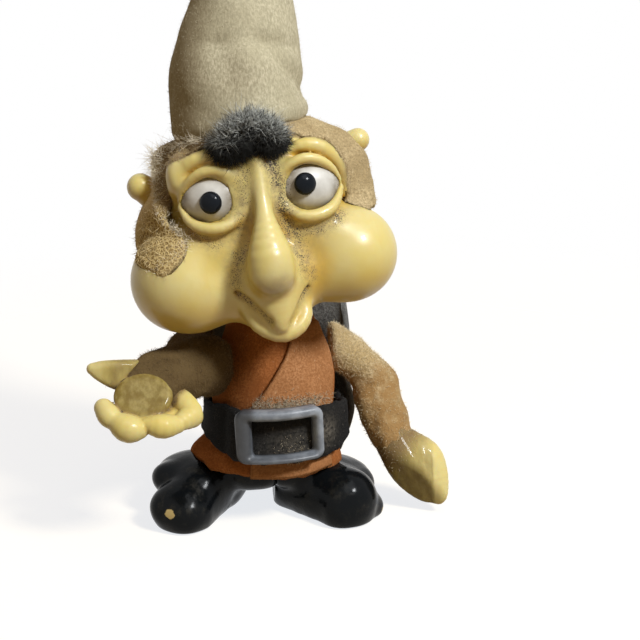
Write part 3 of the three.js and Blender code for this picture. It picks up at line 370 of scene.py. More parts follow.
# Materials: a shader with its inputs set, and nodes that feed it
class Look:
    def __init__(self, name, **values):
        self.material = bpy.data.materials.new(name)
        self.material.use_nodes = True
        self.tree = self.material.node_tree
        self.shader = self.tree.nodes["Principled BSDF"]
        self.place = self.add("TexCoord").outputs["Object"]
        self.set(**values)

    def add(self, kind, **values):
        node = self.tree.nodes.new("ShaderNode" + kind)
        settings = {k: v for k, v in values.items() if hasattr(node, k)}
        for key, value in settings.items():
            setattr(node, key, value)
        for key, value in values.items():
            if key not in settings:
                self.feed(node.inputs[key.replace("_", " ") if isinstance(key, str) else key], value)
        return node

    def feed(self, socket, value):
        if isinstance(value, bpy.types.NodeSocket):
            self.tree.links.new(value, socket)
        elif isinstance(value, tuple) and len(value) == 3 and socket.type == "RGBA":
            socket.default_value = (*value, 1)
        else:
            socket.default_value = value

    def set(self, **values):
        for key, value in values.items():
            self.feed(self.shader.inputs[key.replace("_", " ")], value)

    # Noise from 0 to 1 with features about the given size in millimetres; stretch draws it out
    def grain(self, wide, detail=3.0, roughness=0.55, stretch=(1, 1, 1), distortion=0.0):
        place = self.place
        if stretch != (1, 1, 1):
            place = self.add("Mapping", Vector=place, Scale=tuple(1 / s for s in stretch)).outputs[0]
        node = self.add("TexNoise", Vector=place, Scale=1 / (wide * MM), Detail=detail,
                        Roughness=roughness, Distortion=distortion)
        return node.outputs["Fac"]

    def cells(self, wide, feature="F1"):
        return self.add("TexVoronoi", Vector=self.place, Scale=1 / (wide * MM),
                        feature=feature).outputs["Distance"]

    def mask(self, name):
        return self.add("Attribute", attribute_name=name).outputs["Fac"]

    # A value spread from low..high to start..end, held within them
    def ramp(self, value, low, high, start=0.0, end=1.0):
        node = self.add("MapRange", interpolation_type="SMOOTHSTEP")
        for key, given in (("Value", value), ("From Min", low), ("From Max", high), ("To Min", start),
                           ("To Max", end)):
            self.feed(node.inputs[key], given)
        return node.outputs[0]

    # The colour that reaches the shader so far
    def colour(self):
        return self.shader.inputs["Base Color"].links[0].from_socket

    def times(self, first, second):
        return self.sum("MULTIPLY", first, second)

    def sum(self, operation, first, second):
        node = self.add("Math", operation=operation)
        self.feed(node.inputs[0], first)
        self.feed(node.inputs[1], second)
        return node.outputs[0]

    def blend(self, share, first, second, kind="MIX"):
        node = self.add("Mix", data_type="RGBA", blend_type=kind)
        self.feed(node.inputs["Factor"], share)
        self.feed(node.inputs[6], first)
        self.feed(node.inputs[7], second)
        return node.outputs[2]

    def bump(self, height, depth, strength=1.0):
        node = self.add("Bump", Height=height, Distance=depth * MM, Strength=strength)
        previous = self.shader.inputs["Normal"].links
        if previous:
            self.tree.links.new(previous[0].from_socket, node.inputs["Normal"])
        self.tree.links.new(node.outputs[0], self.shader.inputs["Normal"])


# Felt and flock: mottled colour, fibres lying about, a pale sheen
def felt(name, dark, light, pile, sheen, stretch=(1, 1, 1), lint=None, bump=0.12, shade=0.7):
    look = Look(name, Roughness=0.95, Specular_IOR_Level=0.12, Sheen_Weight=sheen, Sheen_Roughness=0.45,
                Sheen_Tint=(*light, 1))
    broad = look.grain(7.0, 4.0)
    fine = look.grain(pile, 4.0, 0.7, stretch)
    colour = look.blend(look.ramp(broad, 0.35, 0.65), dark, light)
    colour = look.blend(look.ramp(fine, 0.35, 0.68), tuple(shade * c for c in dark), colour)
    if lint:
        specks = look.ramp(look.grain(pile * 1.6, 2.0, 0.6, (1, 1, 3), 1.5), 0.66, 0.74)
        colour = look.blend(look.times(specks, 0.6), colour, lint)
    look.set(Base_Color=colour)
    look.bump(fine, bump)
    look.bump(broad, bump * 2)
    return look


SKIN_LIT = (0.63, 0.545, 0.235)
SKIN_WARM = (0.62, 0.505, 0.15)
SKIN_SHADE_DEEP = (0.54, 0.31, 0.02)
SKIN_OLIVE_AND_SHADE = (0.17, 0.115, 0.022)
SKIN_SMUDGE_AND_SHADE = (0.27, 0.21, 0.12)
SKIN_GRIME_AND_SHADE = (0.22, 0.16, 0.085)
SKIN_SPECKS = ((0.14, (0.07, 0.05, 0.03)), (0.25, (0.04, 0.03, 0.022)))
FLOCK_BROWN = (0.19, 0.125, 0.055)


def skin_look(name, gloss):
    look = Look(name, Roughness=0.4, Specular_IOR_Level=gloss, Coat_Weight=0.12, Coat_Roughness=0.1,
                Subsurface_Weight=0.2, Subsurface_Radius=(1.0, 0.5, 0.12), Subsurface_Scale=1.0 * MM)
    patches = look.grain(6.0, 3.0)
    colour = look.blend(look.ramp(patches, 0.3, 0.75), SKIN_LIT, SKIN_WARM)
    # Painted shade: the skin turns deeper and more orange in creases, valleys and on faces turned down
    colour = look.blend(look.times(look.mask("cavity"), 0.9), colour, SKIN_SHADE_DEEP)
    # Olive on the hands: stain and painted shade; on the left hand's front below the ridge it is mostly
    # painted shade
    olive = look.times(look.mask("olive"),
                       look.ramp(look.grain(1.2, 4.0, 0.6, (1, 1, 3)), 0.2, 0.7, 0.6, 1.0))
    colour = look.blend(olive, colour, SKIN_OLIVE_AND_SHADE)
    # A smudge: dirt and painted shade under the nose tip and in the hands' creases
    smudge = look.times(look.mask("smudge"), look.ramp(look.grain(1.6, 4.0), 0.2, 0.7, 0.55, 0.95))
    colour = look.blend(smudge, colour, SKIN_SMUDGE_AND_SHADE)
    # Grime: dirt specks and mist; in the mouth's and the hands' creases it is also painted shade
    grime = look.mask("grime")
    mist = look.times(grime, look.ramp(look.grain(0.7, 5.0, 0.7), 0.3, 0.7, 0.1, 0.8))
    colour = look.blend(mist, colour, SKIN_GRIME_AND_SHADE)
    for wide, tone in SKIN_SPECKS:
        scatter = look.times(grime, look.ramp(look.grain(2.2, 3.0), 0.25, 0.6, 0.35, 1.0))
        dots = look.sum("SUBTRACT", look.times(scatter, 0.48), look.cells(wide))
        colour = look.blend(look.ramp(dots, 0.0, 0.12, 0.0, 0.9), colour, tone)
    stubble = look.ramp(look.grain(0.5, 4.0, 0.7), 0.2, 0.7, 0.75, 1.0)
    colour = look.blend(look.times(look.mask("flock"), stubble), colour, FLOCK_BROWN)
    dull = look.sum("MAXIMUM", grime, look.sum("MAXIMUM", look.mask("olive"), look.mask("flock")))
    look.set(Base_Color=colour, Roughness=look.ramp(dull, 0.0, 0.8, 0.36, 0.7))
    look.bump(look.grain(2.4, 2.0), 0.05)
    look.bump(look.grain(0.25, 2.0), 0.006)
    return look


skin_plastic = skin_look("skin_plastic", 0.4)
hand_plastic = skin_look("hand_plastic", 0.15)

# Head: a moulded face with full cheeks, long nose, pointed upper lip and a lower lip like a bowl.
# The features sit on the face askew, turned and shifted against the skull.
FACE_TURN = turn_matrix(1, 3.9)
FACE_SHIFT = vec(0.4, 0, 0)
NECK_Y = 5.5
NECK_SEAT = -8.1
NECK_FLOOR = -6.6
NECK_ROOF = -2.6
NECK_SHAFT_R = 3.9
NECK_GROOVE_R = 4.6
NECK_SKIRT_R = 7.5
EYE_PLACE = vec(6.55, -9.7, 6.05)
EYE_RADII = vec(4.3, 2.9, 3.4)
EYE_TURN = 16
EYE_FLAT = 0.7
BROW = ((4.2, -10.5, 11.0, 0.4), (6.1, -10.4, 11.4, 1.0), (8.2, -10.0, 11.1, 1.25), (9.7, -9.1, 9.9, 1.3),
        (10.7, -8.0, 8.2, 1.2), (11.2, -7.0, 6.3, 1.0), (11.4, -6.4, 4.4, 0.7))
UPPER_LID = ((2.3, -11.2, 6.4, 0.4), (3.2, -11.7, 8.4, 0.6), (4.7, -12.0, 9.5, 0.7),
             (6.6, -11.9, 9.85, 0.75), (8.4, -11.3, 9.2, 0.7), (9.8, -10.5, 7.9, 0.6),
             (10.6, -9.7, 6.2, 0.45))
LOWER_LID = ((2.3, -11.4, 4.9, 0.4), (3.3, -12.1, 3.4, 0.6), (5.1, -12.6, 2.4, 0.8),
             (7.0, -12.5, 2.25, 0.85), (8.8, -11.8, 2.75, 0.8), (10.0, -10.8, 3.8, 0.6),
             (10.7, -9.7, 5.3, 0.45))
NOSE = ((0, -12.2, 10.4, 0.6), (0, -12.8, 7.5, 0.8), (0, -13.3, 5.1, 1.05), (0, -14.0, 2.8, 1.4),
        (0, -14.7, 0.4, 2.15), (0, -15.2, -2.2, 3.0), (0, -15.4, -4.1, 3.1))
UPPER_LIP = ((0, -11.0, -5.2, 4.4), (0.1, -12.2, -8.0, 3.2), (0.3, -13.2, -10.3, 1.9),
             (0.4, -13.8, -11.5, 1.0))
LOWER_LIP = ((-4.2, -10.8, -7.6, 0.7), (-3.6, -11.6, -9.6, 0.95), (-2.3, -12.2, -11.6, 1.1),
             (0.2, -12.7, -12.8, 1.2), (2.4, -12.3, -12.3, 1.2), (3.7, -11.6, -10.9, 1.05),
             (4.1, -10.8, -8.8, 0.75))
JAW = ((-9.6, -7.2, -6.4, 4.2), (0, -7.8, -6.4, 4.4), (9.6, -7.2, -6.0, 4.0))
MOUTH = (((-5.2, -11.4, -6.2), (-4.2, -12.6, -7.2), (-2.6, -13.6, -8.9), (-1.2, -14.3, -10.6)),
         ((4.5, -11.6, -6.4), (3.8, -12.7, -8.3), (3.0, -13.6, -10.0), (1.9, -14.2, -11.4)))


def from_face(points):
    return points @ FACE_TURN.T + FACE_SHIFT


def on_face(field):
    return lambda p: field((p - FACE_SHIFT) @ FACE_TURN)


def eye_field(side, grow):
    return egg((side * EYE_PLACE[0], *EYE_PLACE[1:]), EYE_RADII + grow, turn_matrix(2, side * EYE_TURN))


mass = union(
    2.6,
    egg((0, 0, 4), (12.6, 12.3, 13.2)),
    egg((0, -3, 7.6), (10.8, 9.4, 8.8)),
    ball((-11.8, -6.5, -4.0), 7.1),
    ball((11.2, -6.3, -4.9), 6.6),
    ball((0, NECK_Y, NECK_SEAT + 3.9), 6.9),
    limb(*JAW, count=3),
    mirrored(egg((6.8, -8.9, -0.2), (4.6, 3.0, 2.8))),
)
muzzle = on_face(union(1.2, limb(*UPPER_LIP), ball((0, -8.6, -9.4), 4.2)))
nose = on_face(limb(*NOSE))
broad_brow = egg((-9.6, -7.4, 9.2), (2.2, 3.4, 3.4), turn_matrix(2, -30))
ridges = union(0.8, mirrored(union(0.5, limb(*BROW), limb(*UPPER_LID), limb(*LOWER_LID))), broad_brow)
ears = union(0.1, limb((10.0, 0.4, 8.6, 1.9), (13.5, -0.2, 9.2, 1.6), (15.8, -0.6, 9.6, 1.65), count=4),
             limb((-10.0, 0.6, 8.0, 1.9), (-13.2, 0.0, 8.4, 1.6), (-15.0, -0.4, 9.1, 1.95), count=4),
             cone((-15.0, -0.4, 8.9), 1.8, (-14.2, -0.3, 6.4), 0.9))
MOUTH_DEPTHS = (0.06, 0.26, 0.33, 0.3)
mouth = union(0.2, *[limb(*[(*stop, deep) for stop, deep in zip(line, MOUTH_DEPTHS)]) for line in MOUTH])
sockets = on_face(union(0.1, eye_field(-1, -0.03), eye_field(1, -0.03)))


def neck_hole(p):
    across = np.hypot(p[:, 0], p[:, 1] - NECK_Y)
    shaft = np.maximum(across - NECK_SHAFT_R, p[:, 2] - NECK_ROOF)
    groove = np.maximum(np.maximum(across - NECK_GROOVE_R, p[:, 2] - NECK_ROOF), NECK_FLOOR - p[:, 2])
    below = np.maximum(across - NECK_SKIRT_R, p[:, 2] - NECK_SEAT)
    return np.minimum(np.minimum(shaft, groove), below)


head_field = union(1.3, union(3.0, mass, muzzle), nose)
head_field = union(1.0, head_field, on_face(ridges))
head_field = union(0.6, head_field, on_face(limb(*LOWER_LIP)), ears)
head_field = carve(0.9, head_field, on_face(mouth))
head_field = carve(0.2, head_field, sockets, neck_hole)


def cavity_of(field, points, far=1.1):
    lean = slope(field, points)
    lean /= np.maximum(size(lean), 1e-6)[:, None]
    return np.clip(1 - field(points + lean * far) / far, 0, 1) ** 1.5


HEAD_STEP = 0.33
head_points, head_faces = skin_of(head_field, (-20.5, -21, -16), (20, 15, 19), HEAD_STEP)
face_points = (head_points - FACE_SHIFT) @ FACE_TURN
GRIME_LINES = (
    (((1.6, -12.0, 10.4), (2.2, -12.0, 6.4), (3.0, -12.6, 2.0), (4.0, -12.4, -2.4), (4.4, -11.8, -5.2)),
     1.8, 1.1),
    (((3.2, -12.6, 1.0), (6.8, -12.6, 0.2), (9.8, -11.2, 1.6), (11.6, -9.2, 4.2)), 1.3, 1.0),
    (((2.6, -11.8, 9.2), (5.0, -11.6, 10.6), (8.6, -10.8, 10.2), (11.0, -8.6, 7.2)), 0.5, 0.6),
)
grime = np.zeros(len(head_points))
for line, wide, amount in GRIME_LINES:
    for side, share in ((1, 1.0), (-1, 0.8)):
        away = near_line(face_points * vec(side, 1, 1), line)
        grime = np.maximum(grime, share * amount * glow(away, wide))
# In the mouth's creases the grime is dirt and painted shade
for line in MOUTH:
    grime = np.maximum(grime, 1.2 * glow(near_line(face_points, line), 0.75))
# Dirt and painted shade under the nose tip
smudge = 0.85 * glow(size(face_points - vec(0.6, -17.8, -5.6)), 2.4)


# A smooth curve through stops of place and value
def profile(*stops):
    line = smooth_line(stops, 12 * len(stops))
    return lambda x: np.interp(x, line[:, 0], line[:, 1])


def ease(value, low, high):
    share = np.clip((value - low) / (high - low), 0, 1)
    return share * share * (3 - 2 * share)


# Where the temples carry flock, up to a line that runs down each side from the forehead
flock_right = profile((3, 104), (4.9, 113), (7.6, 125), (10, 128), (11.6, 130), (12.6, 144), (13.4, 158),
                      (15, 170))
flock_left = profile((3, 112), (5.3, 122), (6.9, 124), (8.6, 127), (10.1, 131), (11.6, 138), (12.4, 146),
                     (13.4, 158), (15, 170))


def on_temples(points):
    turn = np.degrees(np.arctan2(points[:, 0], points[:, 1]))
    line = np.where(turn < 0, flock_right(points[:, 2]), flock_left(points[:, 2]))
    return ease(line - np.abs(turn), -3, 3) * ease(points[:, 2], 3.4, 5.4) * ease(ears(points), 0.1, 0.6)


CHEEK_FOLD = ((5.7, -13.0, -1.9), (6.2, -12.6, -4.1), (6.1, -11.6, -6.5), (5.6, -10.5, -8.2))
# Painted shade: creases, the valleys round the features, the fold beside the nose and faces turned down are
# marked for deeper colour
valley_shade = np.maximum(0.8 * cavity_of(head_field, head_points, 3.0),
                    0.8 * glow(near_line(face_points, CHEEK_FOLD), 2.2))
lean = slope(head_field, head_points)
underside_shade = 0.55 * ease(-lean[:, 2] / size(lean), -0.15, 0.75)
cavity = np.maximum(np.maximum(cavity_of(head_field, head_points), valley_shade), underside_shade)
head_masks = {"cavity": cavity, "grime": grime, "smudge": smudge,
              "olive": np.zeros(len(head_points)), "flock": on_temples(head_points)}
piece("face", from_head(head_points), head_faces, skin_plastic.material, "head", ["head"],
      head_masks)


# Eyes: flat-backed lenses with dirt at their rims, and raised glossy pupils
EYE_CLEAN = (0.64, 0.635, 0.60)
EYE_DULL = (0.53, 0.52, 0.485)
EYE_DIRT = (0.19, 0.155, 0.105)
EYE_SPECK = (0.04, 0.035, 0.03)


def eye_look():
    look = Look("eye_white", Roughness=0.35, Specular_IOR_Level=0.25)
    rim = look.mask("rim")
    colour = look.blend(look.ramp(look.grain(2.2, 3.0), 0.3, 0.7), EYE_CLEAN, EYE_DULL)
    dirt = look.times(look.ramp(rim, 0.12, 0.6), look.ramp(look.grain(1.4, 4.0), 0.25, 0.6, 0.35, 0.95))
    colour = look.blend(look.times(dirt, 0.9), colour, EYE_DIRT)
    dots = look.sum("SUBTRACT", look.times(rim, 0.42), look.cells(0.32))
    colour = look.blend(look.ramp(dots, 0.05, 0.12), colour, EYE_SPECK)
    look.set(Base_Color=colour)
    return look


eye_white = eye_look()
pupil_black = Look("pupil_black", Roughness=0.16, Specular_IOR_Level=0.1)
pupil_black.set(Base_Color=pupil_black.blend(pupil_black.grain(0.8), (0.004, 0.006, 0.009),
                                             (0.008, 0.010, 0.014)))
PUPIL_RADII = vec(1.5, 1.05, 1.5)
PUPILS = {"right": (-6.7, 5.75), "left": (5.9, 6.6)}

for name, side in (("right", -1), ("left", 1)):
    turn = turn_matrix(2, side * EYE_TURN)
    place = EYE_PLACE * vec(side, 1, 1)
    lens = carve(0.1, egg((0, 0, 0), EYE_RADII), above(EYE_FLAT, 1))
    points, faces = skin_of(lens, -EYE_RADII - 0.5, EYE_RADII + 0.5, 0.22)
    across, up = np.abs(points[:, ::2] / EYE_RADII[::2]).T
    rim = np.clip(1.1 * across ** 2 + 0.6 * up ** 3, 0, 1)
    piece(f"{name}_eyeball", from_head(from_face(points @ turn.T + place)), faces, eye_white.material,
          "head", [f"{name}_eye"], {"rim": rim})
    behind = vec(PUPILS[name][0], place[1], PUPILS[name][1])
    ahead = vec(0, -1, 0)
    seat = behind + ahead * reach(eye_field(side, 0), behind[None], ahead[None], 6.0)[0]
    stud = carve(0.06, egg(seat, PUPIL_RADII, turn), eye_field(side, 0))
    points, faces = skin_of(stud, seat - 1.9, seat + 1.9, 0.12)
    piece(f"{name}_pupil_dome", from_head(from_face(points)), faces, pupil_black.material, "head",
          [f"{name}_pupil"])


# Points sown at random over a mesh, with the mesh's normals there
def sow(points, faces, count, share=None):
    corners = [(face[0], face[k], face[k + 1]) for face in faces for k in range(1, len(face) - 1)]
    a, b, c = (points[np.array(corners)[:, k]] for k in range(3))
    normal = np.cross(b - a, c - a)
    area = size(normal)
    weight = area if share is None else area * np.maximum(share((a + b + c) / 3), 0)
    chosen = rng.choice(len(area), count, p=weight / weight.sum())
    s, t = np.sqrt(rng.random((count, 1))), rng.random((count, 1))
    roots = (1 - s) * a[chosen] + s * (1 - t) * b[chosen] + s * t * c[chosen]
    return roots, normal[chosen] / area[chosen][:, None]


# Fibres as a piece, each with a tone of its own
def strands(name, count, spikes, sides, look, body):
    tone = np.repeat(rng.random(count), len(spikes) // count)
    return piece(name, spikes, sides, look, body, (), {"tone": tone})


# A pile of fine fibres on a mesh: they stand out, lean one way and stray
def pile(name, points, faces, count, length, lean, look, body, slot, width=0.07, stray=0.5, share=None):
    roots, normals = sow(points, faces, count, share)
    ways = normals + vec(*lean) + stray * rng.normal(size=roots.shape)
    lengths = length * rng.uniform(0.5, 1.2, count)
    spikes, sides = fibres(roots - 0.1 * normals, ways, lengths, width, 0.5, 2)
    return strands(name, count, spikes, sides, look, body)


# A cloth piece: its mesh, and its area, which is worked out and not used
def cloth(name, surface, across, along, thickness, look, body, node,
          wrapped=False, rim=None, masks=None, place=from_body):
    points, faces = sheet_of(surface, across, along, thickness, wrapped, rim)
    points = place(points)
    made = piece(name, points, faces, look, body, [node], masks and masks(points))
    u, v = np.meshgrid(np.linspace(0, 1, across + 1), np.linspace(0, 1, along + 1), indexing="ij")
    grid = surface(u.ravel(), v.ravel()).reshape(across + 1, along + 1, 3)
    first, second = grid[1:, 1:] - grid[:-1, :-1], grid[1:, :-1] - grid[:-1, 1:]
    area = size(np.cross(first, second)).sum() / 2
    return points, faces


# A pile's own colour: from dark to light fibre by fibre
def pile_look(name, dark, light, sheen=0.2, mottle=0.4):
    look = Look(name, Roughness=0.85, Specular_IOR_Level=0.2 * min(1, 5 * sheen), Sheen_Weight=sheen,
                Sheen_Tint=(*light, 1))
    tone = look.sum("ADD", look.times(look.mask("tone"), 1 - mottle),
                    look.times(look.grain(4.0), mottle))
    look.set(Base_Color=look.blend(tone, dark, light))
    return look.material


# Hair: a strip of pile cloth round the back of the head; one front edge stands off the temple, one lies on it
HAIR_THICK = 0.5
HAIR_TOP = 14.4
HAIR_FROM = -136
HAIR_TO = 114
hair_wide_left = profile((-3, 16.2), (0.8, 16.5), (4.3, 16.5), (7.0, 16.5), (9, 15.6), (11, 14.1),
                         (12.8, 11.5), (14.6, 8.9))
hair_wide_right = profile((-3, 17.2), (0, 17.3), (3, 16.9), (5.7, 15.6), (7.9, 13.8), (9.8, 12.9),
                          (12.4, 12.1), (13.3, 11.6), (14.6, 9.4))
hair_deep = profile((-3, 13.0), (0.7, 13.6), (6.6, 13.4), (10, 12.2), (12.7, 10.6), (14.6, 9.2))
hair_front_left = profile((-3, 112), (0.9, 117), (2.5, 119), (4, 121), (5.3, 123), (6.9, 125), (8.6, 128),
                          (10.1, 131), (11.6, 136), (12.3, 139), (13.2, 147), (14.6, 160))
hair_front_right = profile((-3, 131), (-1.6, 137), (0, 140), (1.6, 139), (2.8, 134), (4.1, 129), (5.5, 126),
                           (7.6, 127), (10, 130), (11.6, 131), (12.8, 146), (14.6, 160))
hair_low = profile((-145, 0.3), (-139, -0.9), (-134, -2.4), (-128, -1.7), (-120, -0.8), (-110, 0.1),
                   (-98, 0.5), (-60, -0.4), (0, -0.6), (60, -0.4), (90, 0.0), (112, 0.4), (125, 1.6))
FLAP_EDGE = ((3.1, 4.1, 5.5, 6.9, 8.3, 9.9, 11.5, 13.3, 14.6), (133, 128, 124, 119, 111, 104, 100, 97, 100))
HAIR_ROLL = 0.45
temples = union(1.3, mass, on_face(mirrored(limb(*BROW))))


# A place on the hair by turn and height; in front of the loose flap's edge it lies close to the right temple
def hair_place(turn, height):
    way = np.stack([np.sin(turn), np.cos(turn), np.zeros(len(turn))], 1)
    foot = np.stack([np.zeros(len(turn)), np.zeros(len(turn)), height], 1)
    wide = np.where(turn < 0, hair_wide_right(height), hair_wide_left(height))
    shell = 1 / np.hypot(way[:, 0] / wide, way[:, 1] / hair_deep(height))
    snug = reach(temples, foot, way, 24.0)
    past_flap = np.degrees(-turn) - np.interp(height, *FLAP_EDGE)
    close = np.where(turn > 0, ease(np.degrees(turn), 96, 122),
                     ease(past_flap, -1, 5) * ease(height, 3.4, 5.2))
    ruffle = 0.22 * noise(foot + 9 * way, 3.0, 4) + 0.12 * noise(foot + 14 * way, 1.2, 5)
    rolled = HAIR_ROLL * glow(past_flap, 5) * ease(height, 3.0, 5.0) * (turn < 0)
    return foot + way * (np.maximum(shell + (snug - shell) * close, snug) + ruffle + rolled)[:, None]


# Turn and height of a spot on the strip
def hair_spot(u, v):
    first = HAIR_FROM + (HAIR_TO - HAIR_FROM) * np.clip(u, 0, 1)
    height = hair_low(first) + (HAIR_TOP - hair_low(first)) * v
    right, left = -hair_front_right(height), hair_front_left(height)
    return np.radians(right + (left - right) * u), height


def hair_surface(u, v):
    return hair_place(*hair_spot(u, v))


# Colours of the hair's cloth; where it is worn through, old glue shows, webbed with threads. The loose flap
# is painted paler as light, and the recess in front of it is painted dark as shade.
HAIR_DARK = (0.46, 0.35, 0.185)
HAIR_LIGHT = (0.70, 0.57, 0.335)
HAIR_LINT = (0.72, 0.60, 0.38)
HAIR_FLAP_PAINTED_LIGHT = (0.82, 0.67, 0.41)
HAIR_RECESS_SHADE = (0.12, 0.075, 0.033)
GLUE_DARK = (0.19, 0.12, 0.042)
GLUE_LIGHT = (0.34, 0.235, 0.085)
GLUE_WEB = (0.62, 0.48, 0.22)


def hair_look():
    look = felt("hair_cloth", HAIR_DARK, HAIR_LIGHT, 0.32, 0.2, lint=HAIR_LINT, bump=0.2)
    plain = look.colour()
    web = look.ramp(look.cells(0.55, "DISTANCE_TO_EDGE"), 0.02, 0.2, 1.0, 0.0)
    ground = look.blend(look.grain(1.4), GLUE_DARK, GLUE_LIGHT)
    crackle = look.blend(web, ground, GLUE_WEB)
    # Painted light: the loose flap is coloured paler
    plain = look.blend(look.times(look.mask("flap"), 0.75), plain, HAIR_FLAP_PAINTED_LIGHT)
    colour = look.blend(look.ramp(look.mask("worn"), 0.15, 0.75), plain, crackle)
    # Painted shade: the recess in front of the flap is coloured dark
    look.set(Base_Color=look.blend(look.times(look.mask("recess"), 0.85), colour, HAIR_RECESS_SHADE))
    return look


hair_cloth = hair_look()
WORN_HAIR = from_head(vec(-15.2, -9.8, 1.9)[None])[0]


def worn(points):
    return glow(size(points - WORN_HAIR), 7.0)


# How far a place lies on the loose flap by the right ear, painted paler as light, and in the recess in front
# of it, painted dark as shade
def by_flap(points):
    place = to_head(points)
    turn, height = -np.degrees(np.arctan2(place[:, 0], place[:, 1])), place[:, 2]
    past_flap = turn - np.interp(height, *FLAP_EDGE)
    flap = ease(turn, 74, 92) * ease(-past_flap, -2, 1)
    recess = ease(past_flap, 0, 3) * ease(height, 4.2, 6.0)
    return flap, recess


def hair_masks(points):
    flap, recess = by_flap(points)
    return {"worn": worn(points), "recess": recess, "flap": flap}


hair_points, hair_faces = cloth("hair_strip", hair_surface, 96, 30, HAIR_THICK, hair_cloth.material, "head",
                                "hair", False, (0.03, 0.06),
                                hair_masks, from_head)
hair_pile = pile_look("hair_pile", (0.46, 0.35, 0.18), (0.80, 0.67, 0.43))


def not_worn(points):
    return (1 - 0.9 * worn(points)) * (1 - 0.8 * by_flap(points)[1])


pile("hair_pile", hair_points, hair_faces, 5200, 0.55, (0, 0, -0.3), hair_pile, "head", "hair_cloth",
     0.07, 0.6, not_worn)
CURLS = 700
curl_roots, curl_normals = sow(hair_points, hair_faces, CURLS, lambda p: worn(p) ** 2)
curl_ways = rng.normal(size=(CURLS, 3))
curl_ways += 0.25 * curl_normals - (curl_ways * curl_normals).sum(1)[:, None] * curl_normals
curl_points, curl_faces = fibres(curl_roots, curl_ways, rng.uniform(0.5, 1.2, CURLS), 0.09, 0.4)
curl_look = pile_look("hair_curls", (0.42, 0.30, 0.12), (0.82, 0.69, 0.40))
strands("hair_curls", CURLS, curl_points, curl_faces, curl_look, "head")
TEMPLE_FIBRES = 6500
temple_roots, temple_normals = sow(head_points, head_faces, TEMPLE_FIBRES, on_temples)
temple_ways = 0.6 * temple_normals + vec(0, -0.5, -0.2) + 0.6 * rng.normal(size=(TEMPLE_FIBRES, 3))
temple_points, temple_faces = fibres(temple_roots, temple_ways, rng.uniform(0.4, 1.1, TEMPLE_FIBRES), 0.07,
                                     0.5, 2)
temple_look = pile_look("temple_flock", (0.24, 0.16, 0.075), (0.66, 0.53, 0.31))
strands("temple_flock", TEMPLE_FIBRES, from_head(temple_points), temple_faces, temple_look, "head")
fray_look = pile_look("hair_fray", (0.66, 0.55, 0.36), (0.93, 0.88, 0.74))
FRAYS = 1700
FRAY_EDGE = ((127, -1.4, 0.4), (134, -0.2, 0.5), (138, 1.4, 0.6), (133, 3.1, 0.4), (128, 4.1, 0.4),
             (119, 6.9, 0.5), (111, 8.3, 0.6), (104, 9.9, 1.0), (100, 11.5, 1.5), (97, 13.0, 1.7),
             (104, 13.7, 1.8), (125, 14.1, 1.8), (150, 14.3, 1.5))
fray = smooth_line(FRAY_EDGE, FRAYS)
fray_turn = np.radians(-fray[:, 0] + 2.0 * rng.normal(size=FRAYS))
fray_roots = hair_place(fray_turn, fray[:, 1] + 0.3 * rng.normal(size=FRAYS))
fray_ways = vec(-0.6, -0.75, 0.45) + 0.6 * rng.normal(size=(FRAYS, 3))
fray_lengths = fray[:, 2] * rng.uniform(0.3, 1.2, FRAYS)
fray_points, fray_faces = fibres(from_head(fray_roots), fray_ways, fray_lengths, 0.08, 0.6)
strands("hair_fray", FRAYS, fray_points, fray_faces, fray_look, "head")

# Hat: a tall soft cone of felt that leans to the left of the head, creased and dented, with wadding in it
HAT_THICK = 0.9
HAT_LOW = 14.15
HAT_HIGH = 55.6
HAT_DEEPEN = 0.8
HAT_BACK = 2.9
hat_right = profile((13, -9.1), (15.6, -8.9), (19.9, -8.35), (22.6, -7.9), (25, -7.1), (26.7, -6.2),
                    (29.7, -4.6), (32.6, -2.7), (38, 0.8), (44, 4.7), (50, 8.6), (54, 11.0), (57, 12.0))
hat_left = profile((13, 9.8), (15, 9.7), (17.8, 9.6), (20.6, 9.8), (24, 10.1), (28.9, 10.3), (32.6, 10.45),
                   (38, 11.0), (44, 11.9), (50, 12.9), (54, 13.6), (57, 13.4))
hat_edge = profile((-1.6, 14.4), (-0.6, 14.5), (0, 14.4), (0.6, 14.1), (1.6, 13.9))
HAT_CREASES = (
    (((-3.4, -7.8, 26.6), (-1.1, -8.0, 26.1), (2.8, -8.2, 26.1), (6.7, -6.8, 24.9), (9.2, -3.6, 23.6)),
     1.2, 0.5),
    (((-1.4, -8.0, 26.6), (-0.3, -8.7, 24.1), (0.1, -9.2, 21.2)), 1.8, 0.35),
    (((6.0, -7.6, 24.7), (7.8, -6.4, 21.2), (9.2, -1.4, 17.9), (9.4, 1.6, 17.6)), 1.4, 0.8),
    (((-8.2, -2.4, 21.0), (-6.2, -6.2, 19.0), (-4.4, -8.2, 17.4)), 1.6, 0.25),
)


def hat_middle(height):
    right, left = hat_right(height), hat_left(height)
    back = HAT_BACK * np.clip((height - HAT_LOW) / (HAT_HIGH - HAT_LOW), 0, 1)
    return np.stack([(left + right) / 2, back, height], 1), (left - right) / 2


def hat_point(angle, height, out):
    middle, half = hat_middle(height)
    tip = np.clip((HAT_HIGH - height) / 2.2, 0.0, 1)
    tuck = 0.5 * (1 - ease(height, HAT_LOW, HAT_LOW + 1.6))
    half = (half + out - tuck) * np.sqrt(1 - (1 - tip) ** 2)
    deepen = HAT_DEEPEN * (1 - ease(height, HAT_LOW, 30))
    way = np.stack([np.cos(angle), np.sin(angle), np.zeros(len(angle))], 1)
    place = middle + way * np.stack([half, half + deepen, half], 1)
    dent = sum(deep * glow(near_line(place, line), wide) for line, wide, deep in HAT_CREASES)
    wave = 0.32 * noise(place, 6.5, 6) + 0.12 * noise(place, 2.2, 7)
    return place + way * ((wave - dent) * np.minimum(1, half / 3))[:, None]


